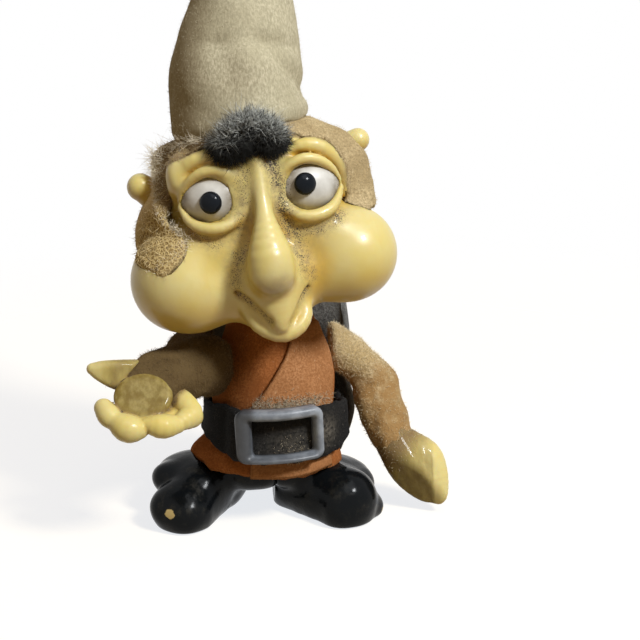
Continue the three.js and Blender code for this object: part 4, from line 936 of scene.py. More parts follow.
def hat_surface(u, v):
    angle = 2 * np.pi * u
    low = hat_edge(np.sin(angle) * -1.57) + 0.18 * np.sin(9 * angle) * np.cos(4 * angle)
    height = low + (HAT_HIGH - 0.02 - low) * v
    return hat_point(angle, height, 0)


HAT_DARK_PATCH = vec(0.6, -9.4, 20.5)
HAT_DARK = (0.47, 0.43, 0.295)
HAT_LIGHT = (0.63, 0.585, 0.425)
HAT_LINT = (0.68, 0.62, 0.46)
HAT_PAINTED_SHADE = (0.22, 0.17, 0.095)


def hat_look():
    look = felt("hat_felt", HAT_DARK, HAT_LIGHT, 0.3, 0.2, (1, 1, 2.2), HAT_LINT, 0.1, 0.8)
    plain = look.colour()
    # Painted shade: the hat is darker on its right side; a darker patch low on its front too
    look.set(Base_Color=look.blend(look.times(look.mask("shade"), 0.6), plain, HAT_PAINTED_SHADE))
    return look


# Where the hat is painted darker: its right side as shade, and a patch low on the front
def hat_masks(points):
    place = to_head(points)
    rightward = hat_middle(place[:, 2])[0][:, 0] - place[:, 0]
    return {"shade": np.maximum(ease(rightward, 2.0, 8.0), 0.45 * glow(size(place - HAT_DARK_PATCH), 3.2))}


hat_felt = hat_look()
hat_points, hat_faces = cloth("hat_felt_cone", hat_surface, 110, 84, HAT_THICK, hat_felt.material, "head",
                              "hat", True, (0.05, 0.014),
                              hat_masks, from_head)
hat_pile = pile_look("hat_pile", (0.49, 0.44, 0.30), (0.70, 0.64, 0.48))
pile("hat_pile", hat_points, hat_faces, 9000, 0.5, (0.1, 0, 0.9), hat_pile, "head", "hat_felt", 0.045, 0.5)

WADDING_GAP = 1.1
WADDING_LOW = 18.4
WADDING_DOWN = 2.6


def wadding_surface(u, v):
    height = WADDING_LOW + (HAT_HIGH - WADDING_DOWN - WADDING_LOW) * v
    puff = 0.35 * noise(hat_point(2 * np.pi * u, height, 0), 1.6, 9)
    return hat_point(2 * np.pi * u, height, -WADDING_GAP + puff)


# A closed skin over rows of points round a middle, with a point at each end
def capped(surface, across, along):
    u, v = np.meshgrid(np.arange(across) / across, np.linspace(0, 1, along + 1), indexing="ij")
    points = surface(u.ravel(), v.ravel()).reshape(across, along + 1, 3).transpose(1, 0, 2)
    ends = [points[0].mean(0), points[-1].mean(0)]
    faces = []
    for j in range(along):
        for i in range(across):
            a, b = j * across + i, j * across + (i + 1) % across
            faces.append((a, b, b + across, a + across))
    last = across * (along + 1)
    for i in range(across):
        j = (i + 1) % across
        faces.append((last, j, i))
        faces.append((last + 1, last - across + i, last - across + j))
    return np.concatenate([points.reshape(-1, 3), ends]), faces


cotton = felt("wadding", (0.60, 0.56, 0.48), (0.74, 0.71, 0.63), 0.5, 0.3, bump=0.3)
wad_points, wad_faces = capped(wadding_surface, 64, 40)
stuffing = piece("hat_stuffing", from_head(wad_points), wad_faces, cotton.material, "head", ["hat_wadding"])

# Forelock: a tuft of black fur under the hat's front edge; where it is combed up over the hat its strands are
# painted grey as a highlight
LOCK_ARCH = ((-3.7, -11.3, 13.1, 0.9), (-2.4, -11.6, 12.6, 1.7), (-0.7, -11.6, 13.3, 2.0),
             (1.4, -11.5, 13.8, 2.0), (3.3, -11.5, 12.7, 1.9), (4.7, -11.0, 12.0, 1.1))
LOCKS = 5200
lock_body = carve(0.15, limb(*LOCK_ARCH, count=20), lambda p: temples(p) - 0.1)
lock_points, lock_faces = skin_of(lock_body, (-9, -17, 8), (10, -5, 19), 0.3)
fur_black = pile_look("forelock_fur", (0.002, 0.002, 0.002), (0.008, 0.008, 0.007), 0.0, 0.05)
piece("forelock_root", from_head(lock_points), lock_faces, fur_black, "head", ["forelock"],
      {"tone": np.zeros(len(lock_points))})
lock_roots, lock_normals = sow(lock_points, lock_faces, LOCKS, lambda p: (temples(p) > 0.4) + 0.02)
arch = smooth_line(LOCK_ARCH, 60)
rise = ease(lock_roots[:, 2] - np.interp(lock_roots[:, 0], arch[:, 0], arch[:, 2]), -1.2, 2.2)
combed = np.stack([0.06 * lock_roots[:, 0], 0.25 * rise - 0.3, 1.7 * rise - 0.9], 1)
lock_ways = 0.35 * lock_normals + combed + 0.4 * rng.normal(size=(LOCKS, 3))
lock_lengths = rng.uniform(0.6, 1.9, LOCKS) * (1 - 0.4 * np.abs(lock_roots[:, 0]) / 8) * (1 + 0.4 * rise)
lock_spikes, lock_sides = fibres(lock_roots - 0.2 * lock_normals, lock_ways, lock_lengths, 0.11, 0.7)
# Painted highlight: strands combed up over the hat turn grey, more or less at random
lock_highlight = np.clip(ease(rise, 0.2, 0.95) * rng.uniform(-0.4, 1.4, LOCKS), 0, 1)
fur_painted_highlight = pile_look("forelock_tips", (0.014, 0.014, 0.014), (0.64, 0.66, 0.62), 0.02, 0.06)
piece("forelock_strands", from_head(lock_spikes), lock_sides, fur_painted_highlight, "head", (),
      {"tone": np.repeat(lock_highlight, len(lock_spikes) // LOCKS)})

# Trunk: layers of felt wrapped round it, each standing out by a set distance
BODY_BACK = -1.5
BODY_DEPTH = 1.05
girth = profile((8.4, 8.8), (14, 7.9), (19, 7.6), (24, 6.7), (28, 5.4), (30.6, 4.4))
FELT = 0.85
TUNIC_OUT = 0.75
TUNIC_HEM = 7.9
TUNIC_TOP = 29.8
FLAP_OUT = 1.95
BELT_LOW = 10.4
BELT_HIGH = 18.2
BELT_MIDDLE = 14.6
SKIRT_FOLDS = 7


def on_body(angle, height, out):
    radius = girth(height)
    across = (radius + out) * np.cos(angle)
    deep = BODY_BACK + (radius * BODY_DEPTH + out) * np.sin(angle)
    return np.stack([across, deep, height], 1)


def skirt_swing(angle, height):
    free = 1 - ease(height, 8.2, BELT_LOW + 1.5)
    right = np.exp(-((np.cos(angle - math.radians(190)) - 1) / 0.22) ** 2)
    return free * (0.35 * (1 - np.cos(SKIRT_FOLDS * angle)) + 2.0 * right)


# The tunic is fuller on the figure's left, in front of the arm
SIDE_TURN = math.radians(-26)
SIDE_HEIGHT = 22.5


def fuller_side(angle, height):
    turn = np.arctan2(np.sin(angle), np.cos(angle))
    return 1.2 * glow(turn - SIDE_TURN, 0.3) * glow(height - SIDE_HEIGHT, 5.0)


def tunic_surface(u, v):
    angle = 2 * np.pi * u
    hem = TUNIC_HEM + 0.5 * np.cos(angle - math.pi) + 0.12 * np.sin(13 * angle) + 0.1 * np.sin(23 * angle + 1)
    height = hem + (TUNIC_TOP - hem) * v
    place = on_body(angle, height, TUNIC_OUT + skirt_swing(angle, height) + fuller_side(angle, height))
    return place + 0.12 * noise(place, 3.0, 11)[:, None] * vec(1, 1, 0)


FLAP_LOW = 8.5
FLAP_HIGH = 29.6
FLAP_NARROWEST = 29.4
FLAP_LOW_LEFT = math.radians(-42)
FLAP_HIGH_LEFT = math.radians(-28)
FLAP_CROSS = math.radians(-112)
FLAP_NECK = math.radians(-66)


def flap_surface(u, v):
    height = FLAP_LOW + (FLAP_HIGH - FLAP_LOW) * v - 0.5 * (1 - v) * (1 - u)
    risen = np.clip((height - BELT_HIGH) / (FLAP_NARROWEST - BELT_HIGH), 0, 1)
    crossing = FLAP_CROSS + (FLAP_NECK - FLAP_CROSS) * risen
    left = FLAP_LOW_LEFT + (FLAP_HIGH_LEFT - FLAP_LOW_LEFT) * v
    angle = crossing + (left - crossing) * u
    place = on_body(angle, height, FLAP_OUT + 0.4 * skirt_swing(angle, height) + fuller_side(angle, height))
    return place + 0.14 * noise(place, 2.6, 12)[:, None] * vec(1, 1, 0)


tunic_felt = felt("tunic_felt", (0.34, 0.115, 0.032), (0.50, 0.19, 0.06), 0.3, 0.2, lint=(0.60, 0.33, 0.16),
                  shade=0.8)
flap_felt = felt("flap_felt", (0.38, 0.165, 0.062), (0.55, 0.275, 0.125), 0.3, 0.2, lint=(0.64, 0.42, 0.24),
                 shade=0.8)
tunic_points, tunic_faces = cloth("tunic_wrap", tunic_surface, 120, 44, FELT, tunic_felt.material, "figure",
                                  "tunic", True,
                                  (0.05, 0.02))
flap_points, flap_faces = cloth("tunic_flap", flap_surface, 34, 44, FELT, flap_felt.material, "figure",
                                "tunic_front_flap", False,
                                (0.03, 0.02))
rust_pile = pile_look("tunic_pile", (0.36, 0.125, 0.035), (0.64, 0.32, 0.14))


# The tunic is worn smooth where the left arm swings past it
def off_left_arm(p):
    return ease(p[:, 0] - BODY_PLACE[0], 8.4, 7.4)


pile("tunic_pile", tunic_points, tunic_faces, 2600, 0.3, (0, 0, -0.2), rust_pile, "figure", "tunic_felt",
     0.05, share=off_left_arm)
pile("flap_pile", flap_points, flap_faces, 1500, 0.3, (0, 0, -0.2), rust_pile, "figure", "tunic_felt", 0.05)

# Belt: a broad strap of black felt over the tunic and its flap, paler beside the buckle with dust and painted
# light, and dusty in its window
BELT_THICK = 1.0
BELT_OUT = 1.5
BELT_OVER_FLAP = 1.2
BELT_FRONT_HALF = 3.8
BELT_SIDE_HALF = 2.5


def belt_out(angle):
    turn = np.arctan2(np.sin(angle), np.cos(angle))
    beside = np.maximum(np.maximum(FLAP_CROSS - turn, turn - FLAP_HIGH_LEFT), 0)
    over_flap = 1 - ease(beside, math.radians(8), math.radians(24))
    return BELT_OUT + BELT_OVER_FLAP * over_flap + BELT_THICK / 2


def belt_surface(u, v):
    angle = 2 * np.pi * u
    wave = 0.1 * np.sin(17 * angle) + 0.08 * np.sin(29 * angle + 2)
    front = ease(-np.sin(angle), 0.1, 0.85)
    half = BELT_SIDE_HALF + (BELT_FRONT_HALF - BELT_SIDE_HALF) * front + wave
    height = BELT_MIDDLE + half * (2 * v - 1)
    place = on_body(angle, height, belt_out(angle))
    return place + 0.1 * noise(place, 2.4, 13)[:, None] * vec(1, 1, 0)


def belt_look():
    look = felt("belt_felt", (0.010, 0.010, 0.010), (0.030, 0.029, 0.028), 0.3, 0.15,
                lint=(0.12, 0.11, 0.10))
    plain = look.colour()
    # The dust mask also carries painted light beside the buckle
    dust = look.times(look.mask("dust"), look.ramp(look.grain(0.5, 4.0, 0.7), 0.3, 0.65))
    look.set(Base_Color=look.blend(dust, plain, (0.30, 0.27, 0.22)))
    return look


belt_felt = belt_look()
belt_points, belt_faces = sheet_of(belt_surface, 110, 16, BELT_THICK, True, (0.05, 0.06))
# Beside the buckle the pale spot is dust and painted light; in the window it is dust
DUST_AND_LIGHT_SPOTS = ((0.5, (6.6, -10.2, 14.6), 1.9), (0.3, (1.6, -11.8, 13.0), 2.8))
dust_and_light = sum(much * glow(size(belt_points - vec(*place)), wide) for much, place, wide in DUST_AND_LIGHT_SPOTS)
piece("belt_strap", from_body(belt_points), belt_faces, belt_felt.material, "figure", ["belt"],
      {"dust": np.clip(dust_and_light, 0, 1)})
black_pile = pile_look("belt_pile", (0.012, 0.012, 0.012), (0.085, 0.082, 0.078))
pile("belt_pile", from_body(belt_points), belt_faces, 3000, 0.4, (0, 0, -0.1), black_pile, "figure",
     "belt_felt", 0.05)
lint_look = pile_look("belt_lint", (0.40, 0.33, 0.22), (0.68, 0.60, 0.46))


def lint_share(points):
    across = points[:, 0] - 1.0 - BODY_PLACE[0]
    return glow(points[:, 2] - 19.0, 0.75) * glow(across, 4.4) * (points[:, 1] < 0)


pile("belt_lint", flap_points, flap_faces, 2400, 0.9, (0.2, -0.5, -0.4), lint_look, "figure", "belt_felt",
     0.07, 0.8, lint_share)


def window_lint(points):
    across = points[:, 0] - 2.2 - BODY_PLACE[0]
    return glow(points[:, 2] - 12.6, 1.6) * glow(across, 2.0) * (points[:, 1] < 0)


pile("belt_smear", from_body(belt_points), belt_faces, 420, 0.5, (0.2, 0, -0.3), lint_look, "figure",
     "belt_felt", 0.06, 0.7, window_lint)

# Buckle: a bevelled frame, its bars of unlike widths, bent round the belly, a little askew; its right and
# bottom bars are painted darker as shade
BUCKLE_SIZE = (11.7, 7.8)
BUCKLE_BARS = {"right": 2.0, "left": 1.1, "bottom": 0.95, "top": 1.6}
BUCKLE_THICK = 1.8
BUCKLE_PLACE = (0.1, 15.4)
BUCKLE_TILT = math.radians(2.5)
BUCKLE_BEND = 12.35
BUCKLE_SECTION = ((0.0, 0.0), (0.0, 0.35), (0.0, 0.65), (0.06, 0.85), (0.18, 0.97), (0.34, 1.0), (0.52, 1.0),
                  (0.7, 0.94), (0.84, 0.8), (0.95, 0.6), (1.0, 0.4), (1.0, 0.0))


# Points round a rectangle with round corners, each quarter a corner and then a straight side
def rounded_rectangle(share, x_low, x_high, bottom, top, corner):
    hearts = np.array(((x_high, top), (x_low, top), (x_low, bottom), (x_high, bottom)))
    hearts = hearts - corner * np.array(((1, 1), (-1, 1), (-1, -1), (1, -1)))
    quarter = np.floor(4 * share).astype(int) % 4
    part = 2 * (4 * share - np.floor(4 * share))

    def on_corner(which, turn):
        angle = (which + turn) * np.pi / 2
        return hearts[which % 4] + corner * np.stack([np.cos(angle), np.sin(angle)], 1)

    along = np.clip(part - 1, 0, 1)[:, None]
    start = on_corner(quarter, np.clip(part, 0, 1))
    return start + along * (on_corner(quarter + 1, np.zeros(len(share))) - start)


def buckle_points(around=160):
    section = np.array(BUCKLE_SECTION)
    share = np.repeat(np.arange(around) / around, len(section))
    across, raised = np.tile(section, (around, 1)).T
    wide, high = BUCKLE_SIZE[0] / 2, BUCKLE_SIZE[1] / 2
    outer = rounded_rectangle(share, -wide, wide, -high, high, 1.3)
    inner = rounded_rectangle(share, BUCKLE_BARS["right"] - wide, wide - BUCKLE_BARS["left"],
                              BUCKLE_BARS["bottom"] - high, high - BUCKLE_BARS["top"], 0.45)
    flat = outer + across[:, None] * (inner - outer)
    tilt = np.array(((math.cos(BUCKLE_TILT), -math.sin(BUCKLE_TILT)),
                     (math.sin(BUCKLE_TILT), math.cos(BUCKLE_TILT))))
    flat = flat @ tilt.T
    out = BUCKLE_BEND + BUCKLE_THICK * raised
    angle = -np.pi / 2 + (flat[:, 0] + BUCKLE_PLACE[0]) / BUCKLE_BEND
    height = BUCKLE_PLACE[1] + flat[:, 1]
    points = np.stack([out * np.cos(angle), BODY_BACK + out * np.sin(angle), height], 1)
    rows = len(section)
    faces = []
    for i in range(around):
        for j in range(rows):
            a, b = i * rows, ((i + 1) % around) * rows
            faces.append((a + j, b + j, b + (j + 1) % rows, a + (j + 1) % rows))
    return points, faces


BUCKLE_DARK = (0.17, 0.19, 0.22)
BUCKLE_LIGHT = (0.28, 0.31, 0.35)
BUCKLE_WORN = (0.07, 0.075, 0.085)
BUCKLE_PAINTED_SHADE = (0.02, 0.02, 0.021)


def buckle_look():
    look = Look("buckle_plastic", Roughness=0.38, Specular_IOR_Level=0.4)
    colour = look.blend(look.ramp(look.grain(1.6, 4.0), 0.35, 0.7), BUCKLE_DARK, BUCKLE_LIGHT)
    worn = look.ramp(look.grain(0.35, 4.0, 0.7), 0.6, 0.72)
    colour = look.blend(look.times(worn, 0.5), colour, BUCKLE_WORN)
    colour = look.blend(look.times(look.mask("dim"), 0.85), colour, BUCKLE_PAINTED_SHADE)
    look.set(Base_Color=colour)
    look.bump(look.grain(0.5, 3.0), 0.03)
    return look


frame_points, frame_faces = buckle_points()
# Painted shade on the right bar and the bottom bar
right_bar = ease(-frame_points[:, 0], 3.2, 4.2)
low_bar = 0.7 * ease(BUCKLE_PLACE[1] - frame_points[:, 2], 2.4, 3.3)
piece("buckle_frame", from_body(frame_points), frame_faces, buckle_look().material, "figure",
      ["belt_buckle"], {"dim": np.maximum(right_bar, low_bar)})

# Cape: stiff dark felt that hangs from the nape down the back, its folds opening towards the hem
CAPE_THICK = 0.9
CAPE_FOLDS = 5
CAPE_LOW = 5.2
CAPE_HIGH = 31.0
CAPE_SIDE = 4.4
CAPE_WRAP = math.radians(86)
cape_back = profile((5, 12.2), (10, 11.4), (18.2, 10.4), (25, 7.6), (29.8, 6.3), (31.2, 5.9))
cape_right = profile((5, 9.2), (12, 9.4), (18.2, 10.0), (25, 13.4), (31.2, 15.0))
cape_left = profile((5, 10.6), (12, 13.1), (18.2, 11.9), (25, 11.9), (31.2, 11.0))


def cape_surface(u, v):
    bend = -CAPE_WRAP + 2 * CAPE_WRAP * u
    hem = CAPE_LOW + 0.25 * np.sin(11 * bend) + 0.15 * np.sin(23 * bend + 1)
    height = hem + (CAPE_HIGH - hem) * v
    half = cape_right(height) + (cape_left(height) - cape_right(height)) * u
    fold = (1 - v) * (1 - np.cos(2 * np.pi * CAPE_FOLDS * u)) * 0.65
    deep = cape_back(height) - CAPE_SIDE + fold
    place = np.stack([half * np.sin(bend), CAPE_SIDE + deep * np.cos(bend), height], 1)
    return place + 0.25 * noise(place, 4.0, 15)[:, None] * vec(1, 1, 0)


cape_felt = felt("cape_felt", (0.17, 0.175, 0.17), (0.32, 0.325, 0.31), 0.4, 0.25, lint=(0.32, 0.32, 0.30),
                 bump=0.2)
cape_points, cape_faces = cloth("cape_hanging", cape_surface, 90, 56, CAPE_THICK, cape_felt.material,
                                "figure", "cape", False,
                                (0.014, 0.02))
grey_pile = pile_look("cape_pile", (0.10, 0.10, 0.096), (0.30, 0.30, 0.28))
pile("cape_pile", cape_points, cape_faces, 4200, 0.45, (0, 0, -0.3), grey_pile, "figure", "cape_felt", 0.06)


# Boots: glossy lumpy castings, splayed, flat under the sole, with chips of bare plastic at the toes
BOOT_BLACK = (0.004, 0.005, 0.006)
BOOT_DUST = (0.020, 0.019, 0.016)
BOOT_BARE = (0.52, 0.40, 0.17)


def boot_look():
    look = Look("boot_paint", Roughness=0.3, Specular_IOR_Level=0.09)
    dust = look.ramp(look.grain(2.6, 5.0, 0.65), 0.5, 0.75)
    colour = look.blend(dust, BOOT_BLACK, BOOT_DUST)
    bare = look.sum("SUBTRACT", look.mask("bare"), look.times(look.grain(0.8, 3.0), 0.5))
    colour = look.blend(look.ramp(bare, 0.2, 0.3), colour, BOOT_BARE)
    look.set(Base_Color=colour, Roughness=look.ramp(dust, 0.0, 1.0, 0.18, 0.42))
    look.bump(look.grain(3.0, 3.0), 0.10)
    look.bump(look.grain(0.6, 3.0), 0.012)
    return look


boot_paint = boot_look()
ANKLE = vec(4.9, BODY_BACK, 9.0)
ANKLE_R = 4.2
BOOTS = {
    "right": {
        "side": -1,
        "foot": ((-8.4, -0.4, 3.4, 4.4), (-10.8, -4.4, 3.2, 4.5), (-13.4, -8.4, 2.4, 4.5)),
        "instep": ((-7.0, -4.2, 6.2, 3.0), (-10.4, -6.4, 5.2, 3.3), (-13.4, -8.4, 3.4, 3.2)),
        "cuff": (-11.6, -3.0, 5.4), "cuff_radii": (6.2, 5.2, 3.7),
        "lumps": ((-16.0, -4.8, 6.0, 2.1), (-16.0, -9.4, 3.2, 2.5), (-13.4, -10.6, 2.6, 2.5),
                  (-1.8, -6.0, 7.4, 3.0), (-4.4, -5.8, 7.4, 3.2)),
        "chip": (-15.8, -13.0, 3.5, 1.0),
    },
    "left": {
        "side": 1,
        "foot": ((3.6, -2.0, 3.4, 4.4), (6.8, -5.4, 3.0, 4.6), (10.2, -9.0, 2.8, 4.7)),
        "instep": ((5.6, -5.4, 5.6, 3.0), (8.0, -7.4, 4.8, 3.3), (10.2, -9.2, 3.8, 3.5)),
        "cuff": (8.6, -2.8, 4.4), "cuff_radii": (5.9, 5.0, 3.0),
        "lumps": ((12.9, -4.8, 3.8, 1.9), (14.0, -8.0, 1.4, 1.7), (9.4, -11.0, 2.2, 2.2),
                  (1.8, -6.0, 7.4, 3.0), (4.2, -5.6, 7.0, 3.2)),
        "chip": (15.7, -8.4, 0.9, 0.7),
    },
}


SKIRT_R = 11.8
SKIRT_LOW = 8.0


# The room that the skirt takes up above the boots
def under_skirt(p):
    across = np.hypot(p[:, 0], (p[:, 1] - BODY_BACK) / BODY_DEPTH)
    return np.maximum(across - SKIRT_R, SKIRT_LOW - p[:, 2])


for name, shape in BOOTS.items():
    side, foot = shape["side"], shape["foot"]
    shaft = cone(foot[0][:3], foot[0][3], ANKLE * vec(side, 1, 1), ANKLE_R)
    bumps = [ball(lump[:3], lump[3]) for lump in shape["lumps"]]
    boot = union(1.2, limb(*foot, count=6), limb(*shape["instep"], count=6),
                 egg(shape["cuff"], shape["cuff_radii"]), shaft, *bumps)
    boot = rough(boot, (5.0, 0.22), (2.0, 0.08))
    boot = carve(0.1, carve(0.5, boot, above(0, 2, -1), under_skirt), above(0, 0, -side))
    low, high = np.array(foot)[:, :3].min(0) - 9, np.array(foot)[:, :3].max(0) + 9
    points, faces = skin_of(boot, (low[0], low[1], -0.4), (high[0], high[1], 11.0), 0.36)
    bare = glow(size(points - vec(*shape["chip"][:3])), shape["chip"][3])
    piece(f"{name}_boot_cast", from_body(points), faces, boot_paint.material, "figure", [f"{name}_boot"],
          {"bare": bare})

# Arms: flocked sleeves that fade into moulded hands; each runs on past the wrist and sinks into the hand
SHOULDER = (8.7, -0.5, 25.2)
SLEEVE_FREE_Y = -7.6
SLEEVE_SEAM = ((-8.8, -9.8, 26.2, 2.3), (-8.7, -9.8, 23.6, 2.6), (-8.9, -9.6, 22.3, 2.1))
ARMS = {
    "right": ((-8.0, -0.5, 25.2, 3.6), (-11.4, -4.4, 24.4, 4.2), (-11.1, -9.8, 24.6, 4.2),
              (-15.7, -13.8, 24.2, 4.1), (-18.2, -16.2, 24.4, 4.0)),
    "left": ((8.0, -0.5, 25.0, 3.2), (12.2, -0.9, 22.0, 2.9), (15.0, -1.4, 19.0, 3.2),
             (15.9, -2.3, 15.6, 3.5), (17.1, -4.1, 11.7, 3.05), (18.6, -5.5, 9.2, 2.2)),
}
SIDES = {"right": -1, "left": 1}
WRIST_FADE = {"right": (-9.0, -4.0), "left": (-12.5, -7.0)}
LUMPS = {"right": ((2.6, 0.22), (1.1, 0.10)), "left": ((3.0, 0.42), (1.3, 0.18))}
# Colours of each sleeve: cloth from dark to light, fibres from dark to light, and the cloth near the wrist;
# the right sleeve's are darker than the left's as painted shade
FLOCK = {
    # The right sleeve's darker colours paint the shadow that the head casts on it
    "right": ((0.07, 0.042, 0.017), (0.13, 0.083, 0.036), (0.10, 0.062, 0.027), (0.23, 0.165, 0.085),
              (0.115, 0.077, 0.033)),
    "left": ((0.52, 0.385, 0.19), (0.90, 0.77, 0.50), (0.66, 0.53, 0.30), (0.92, 0.83, 0.61),
             (0.33, 0.195, 0.075)),
}


# An arm's wrist and the way the forearm points there
def forearm(name):
    stops = np.array(ARMS[name])[:, :3]
    line = stops[-2] - stops[-3]
    return stops[-2], line / np.linalg.norm(line)


# Right hand: it lies open, its fingers curled up into a rim round the flat palm
PALM_PLACE = vec(-18.6, -18.8, 23.5)
PALM_TURN = turn_matrix(0, 49)
PALM_UP = PALM_TURN[:, 2]
PALM_PROUD = 0.25
palm_face = PALM_PLACE + 0.5 * PALM_UP
palm = carve(0.9, egg(PALM_PLACE, (4.0, 3.4, 1.7), PALM_TURN), past(palm_face, PALM_UP))
off_thumb = past((-19.2, -16.0, 27.9), (-0.767, 0.173, 0.618))
over_palm = past(palm_face - PALM_PROUD * PALM_UP, PALM_UP)
hand_root = limb((-15.9, -13.8, 23.4, 2.8), (-16.6, -15.8, 22.6, 2.6), (-17.8, -17.4, 21.8, 2.6), count=6)
under_palm = egg((-18.2, -18.6, 20.5), (5.3, 3.3, 1.4))
right_thumb = limb((-18.8, -15.4, 25.3, 2.2), (-21.4, -16.3, 25.7, 2.15), (-23.8, -16.9, 26.5, 1.5),
                   (-25.3, -17.1, 27.0, 0.8))
right_thumb = carve(0.5, right_thumb, past((-22.0, -17.5, 26.0), (0.22, -0.95, 0.05)))
right_thumb = carve(0.3, right_thumb, past((-18.9, -16.1, 27.7), (0.767, -0.173, -0.618)))
FINGERS = (
    ((-23.9, -19.4, 22.2, 1.3), (-23.2, -20.3, 21.4, 1.55), (-22.4, -20.8, 20.8, 1.3)),
    ((-22.2, -21.0, 20.7, 1.35), (-20.7, -21.8, 20.0, 1.9), (-19.2, -22.0, 19.9, 1.3)),
    ((-18.2, -21.9, 20.5, 0.9), (-16.2, -21.9, 20.2, 1.65), (-14.2, -21.2, 20.1, 1.2)),
    ((-13.4, -20.6, 20.4, 1.3), (-12.2, -19.0, 20.7, 1.8), (-12.7, -17.6, 21.4, 2.1),
     (-13.6, -16.6, 21.8, 2.1)),
)
finger_rim = union(0.12, *[limb(*finger, count=8) for finger in FINGERS])
right_hand = union(0.2, union(0.5, hand_root, under_palm), union(0.15, finger_rim, right_thumb, palm))

# Left hand: it hangs straight, a flat front below a ridge that runs down and out across the knuckles
left_palm = limb((17.1, -4.1, 11.7, 2.8), (18.8, -5.6, 8.9, 3.1), (20.3, -7.2, 6.0, 3.1),
                 (21.7, -8.5, 3.4, 2.4), (22.4, -9.0, 2.3, 1.6))
left_edge = limb((20.3, -4.9, 10.0, 1.9), (22.6, -5.9, 8.2, 2.3), (23.6, -7.0, 5.8, 2.1),
                 (24.1, -8.2, 3.4, 1.5), (23.8, -8.8, 2.2, 1.2))
left_front = past((20.6, -9.0, 6.4), (-0.42, -0.84, -0.34))
left_hand = carve(0.9, union(0.7, left_palm, left_edge), left_front)
LEFT_RIDGE = ((14.0, 16.4, 18.1, 20.6, 23.0, 23.6), (11.4, 10.4, 9.2, 7.5, 6.0, -4.0))
# The ridge's line goes on through the hand, shifted by these shares of the depth
RIDGE_Y = -9.0
RIDGE_ACROSS = -0.167
RIDGE_DOWN = 0.4


# Where a hand is stained olive and painted with shade, and where flock runs on from the sleeve
def right_stains_and_shade(p):
    # The palm and thumb are olive with stain and painted shade
    on_palm = ease(palm(p), 0.5, 0.0) * ease(finger_rim(p), 0.0, 0.35)
    on_thumb = 0.75 * ease(right_thumb(p), 0.35, 0.0) * ease(p[:, 0], -26.5, -22.0)
    sleeve = limb(*ARMS["right"], count=22)(p) + 0.4 * noise(p, 0.9, 22)
    bare = ease(np.minimum(palm(p), right_thumb(p) + 0.4 * sleeve), 0.0, 0.5)
    return np.maximum(on_palm, on_thumb), ease(sleeve, 1.5, 0.1) * bare


def left_stains_and_shade(p):
    wrist, line = forearm("left")
    away = p[:, 1] - RIDGE_Y
    below = np.interp(p[:, 0] + RIDGE_ACROSS * away, *LEFT_RIDGE) - p[:, 2] - RIDGE_DOWN * away
    along = (p - wrist) @ line + 0.9 * noise(p, 1.6, 23) + 0.5 * (p[:, 0] - 18.5)
    # Below the ridge the front of the hand is painted olive as shade
    olive = np.maximum(0.95 * ease(below, -0.3, 0.9), 0.7 * ease(below, -6.5, -1.6))
    return olive, 1 - ease(along, 2.0, 7.5)


# How thick a sleeve's pile grows: the left one's thins out near the wrist
def sleeve_share(name):
    wrist, line = forearm(name)

    def share(p):
        return 1 - 0.8 * ease((p - from_body(wrist)) @ line, *WRIST_FADE[name])
    return share if name == "left" else None


def sleeve_look(name):
    dark, light, _, fibre_light, low = FLOCK[name]
    look = felt(f"{name}_sleeve_flock", dark, light, 0.4, 0.3, lint=fibre_light, bump=0.22)
    plain = look.colour()
    spread = look.times(look.mask("low"), look.ramp(look.grain(1.8, 4.0), 0.25, 0.6, 0.5, 1.0))
    look.set(Base_Color=look.blend(spread, plain, low))
    return look.material


for name, stops in ARMS.items():
    side = SIDES[name]
    wrist, line = forearm(name)
    sleeve = limb(*stops, count=24)
    if name == "right":
        sleeve = union(1.6, sleeve, limb(*SLEEVE_SEAM, count=6))
    sleeve = rough(sleeve, *LUMPS[name])
    beside_body = carve(0.1, above(side * SHOULDER[0], 0, -side), above(SLEEVE_FREE_Y, 1, -1))
    sleeve = carve(1.2, sleeve, beside_body)
    if name == "right":
        sleeve = carve(0.3, sleeve, off_thumb, over_palm)
    low, high = np.array(stops)[:, :3].min(0) - 6, np.array(stops)[:, :3].max(0) + 6
    points, faces = skin_of(sleeve, low, high, 0.34)
    near_wrist = ease((points - wrist) @ line + 1.2 * noise(points, 2.0, 21), *WRIST_FADE[name])
    piece(f"{name}_sleeve_flock", from_body(points), faces, sleeve_look(name), f"{name}_arm",
          [f"{name}_sleeve"], {"low": near_wrist})
    fuzz = pile_look(f"{name}_sleeve_pile", *FLOCK[name][2:4])
    pile(f"{name}_sleeve_pile", from_body(points), faces, 5200, 0.5, tuple(0.5 * line), fuzz, f"{name}_arm",
         "sleeve_flock", 0.07, 0.6, sleeve_share(name))

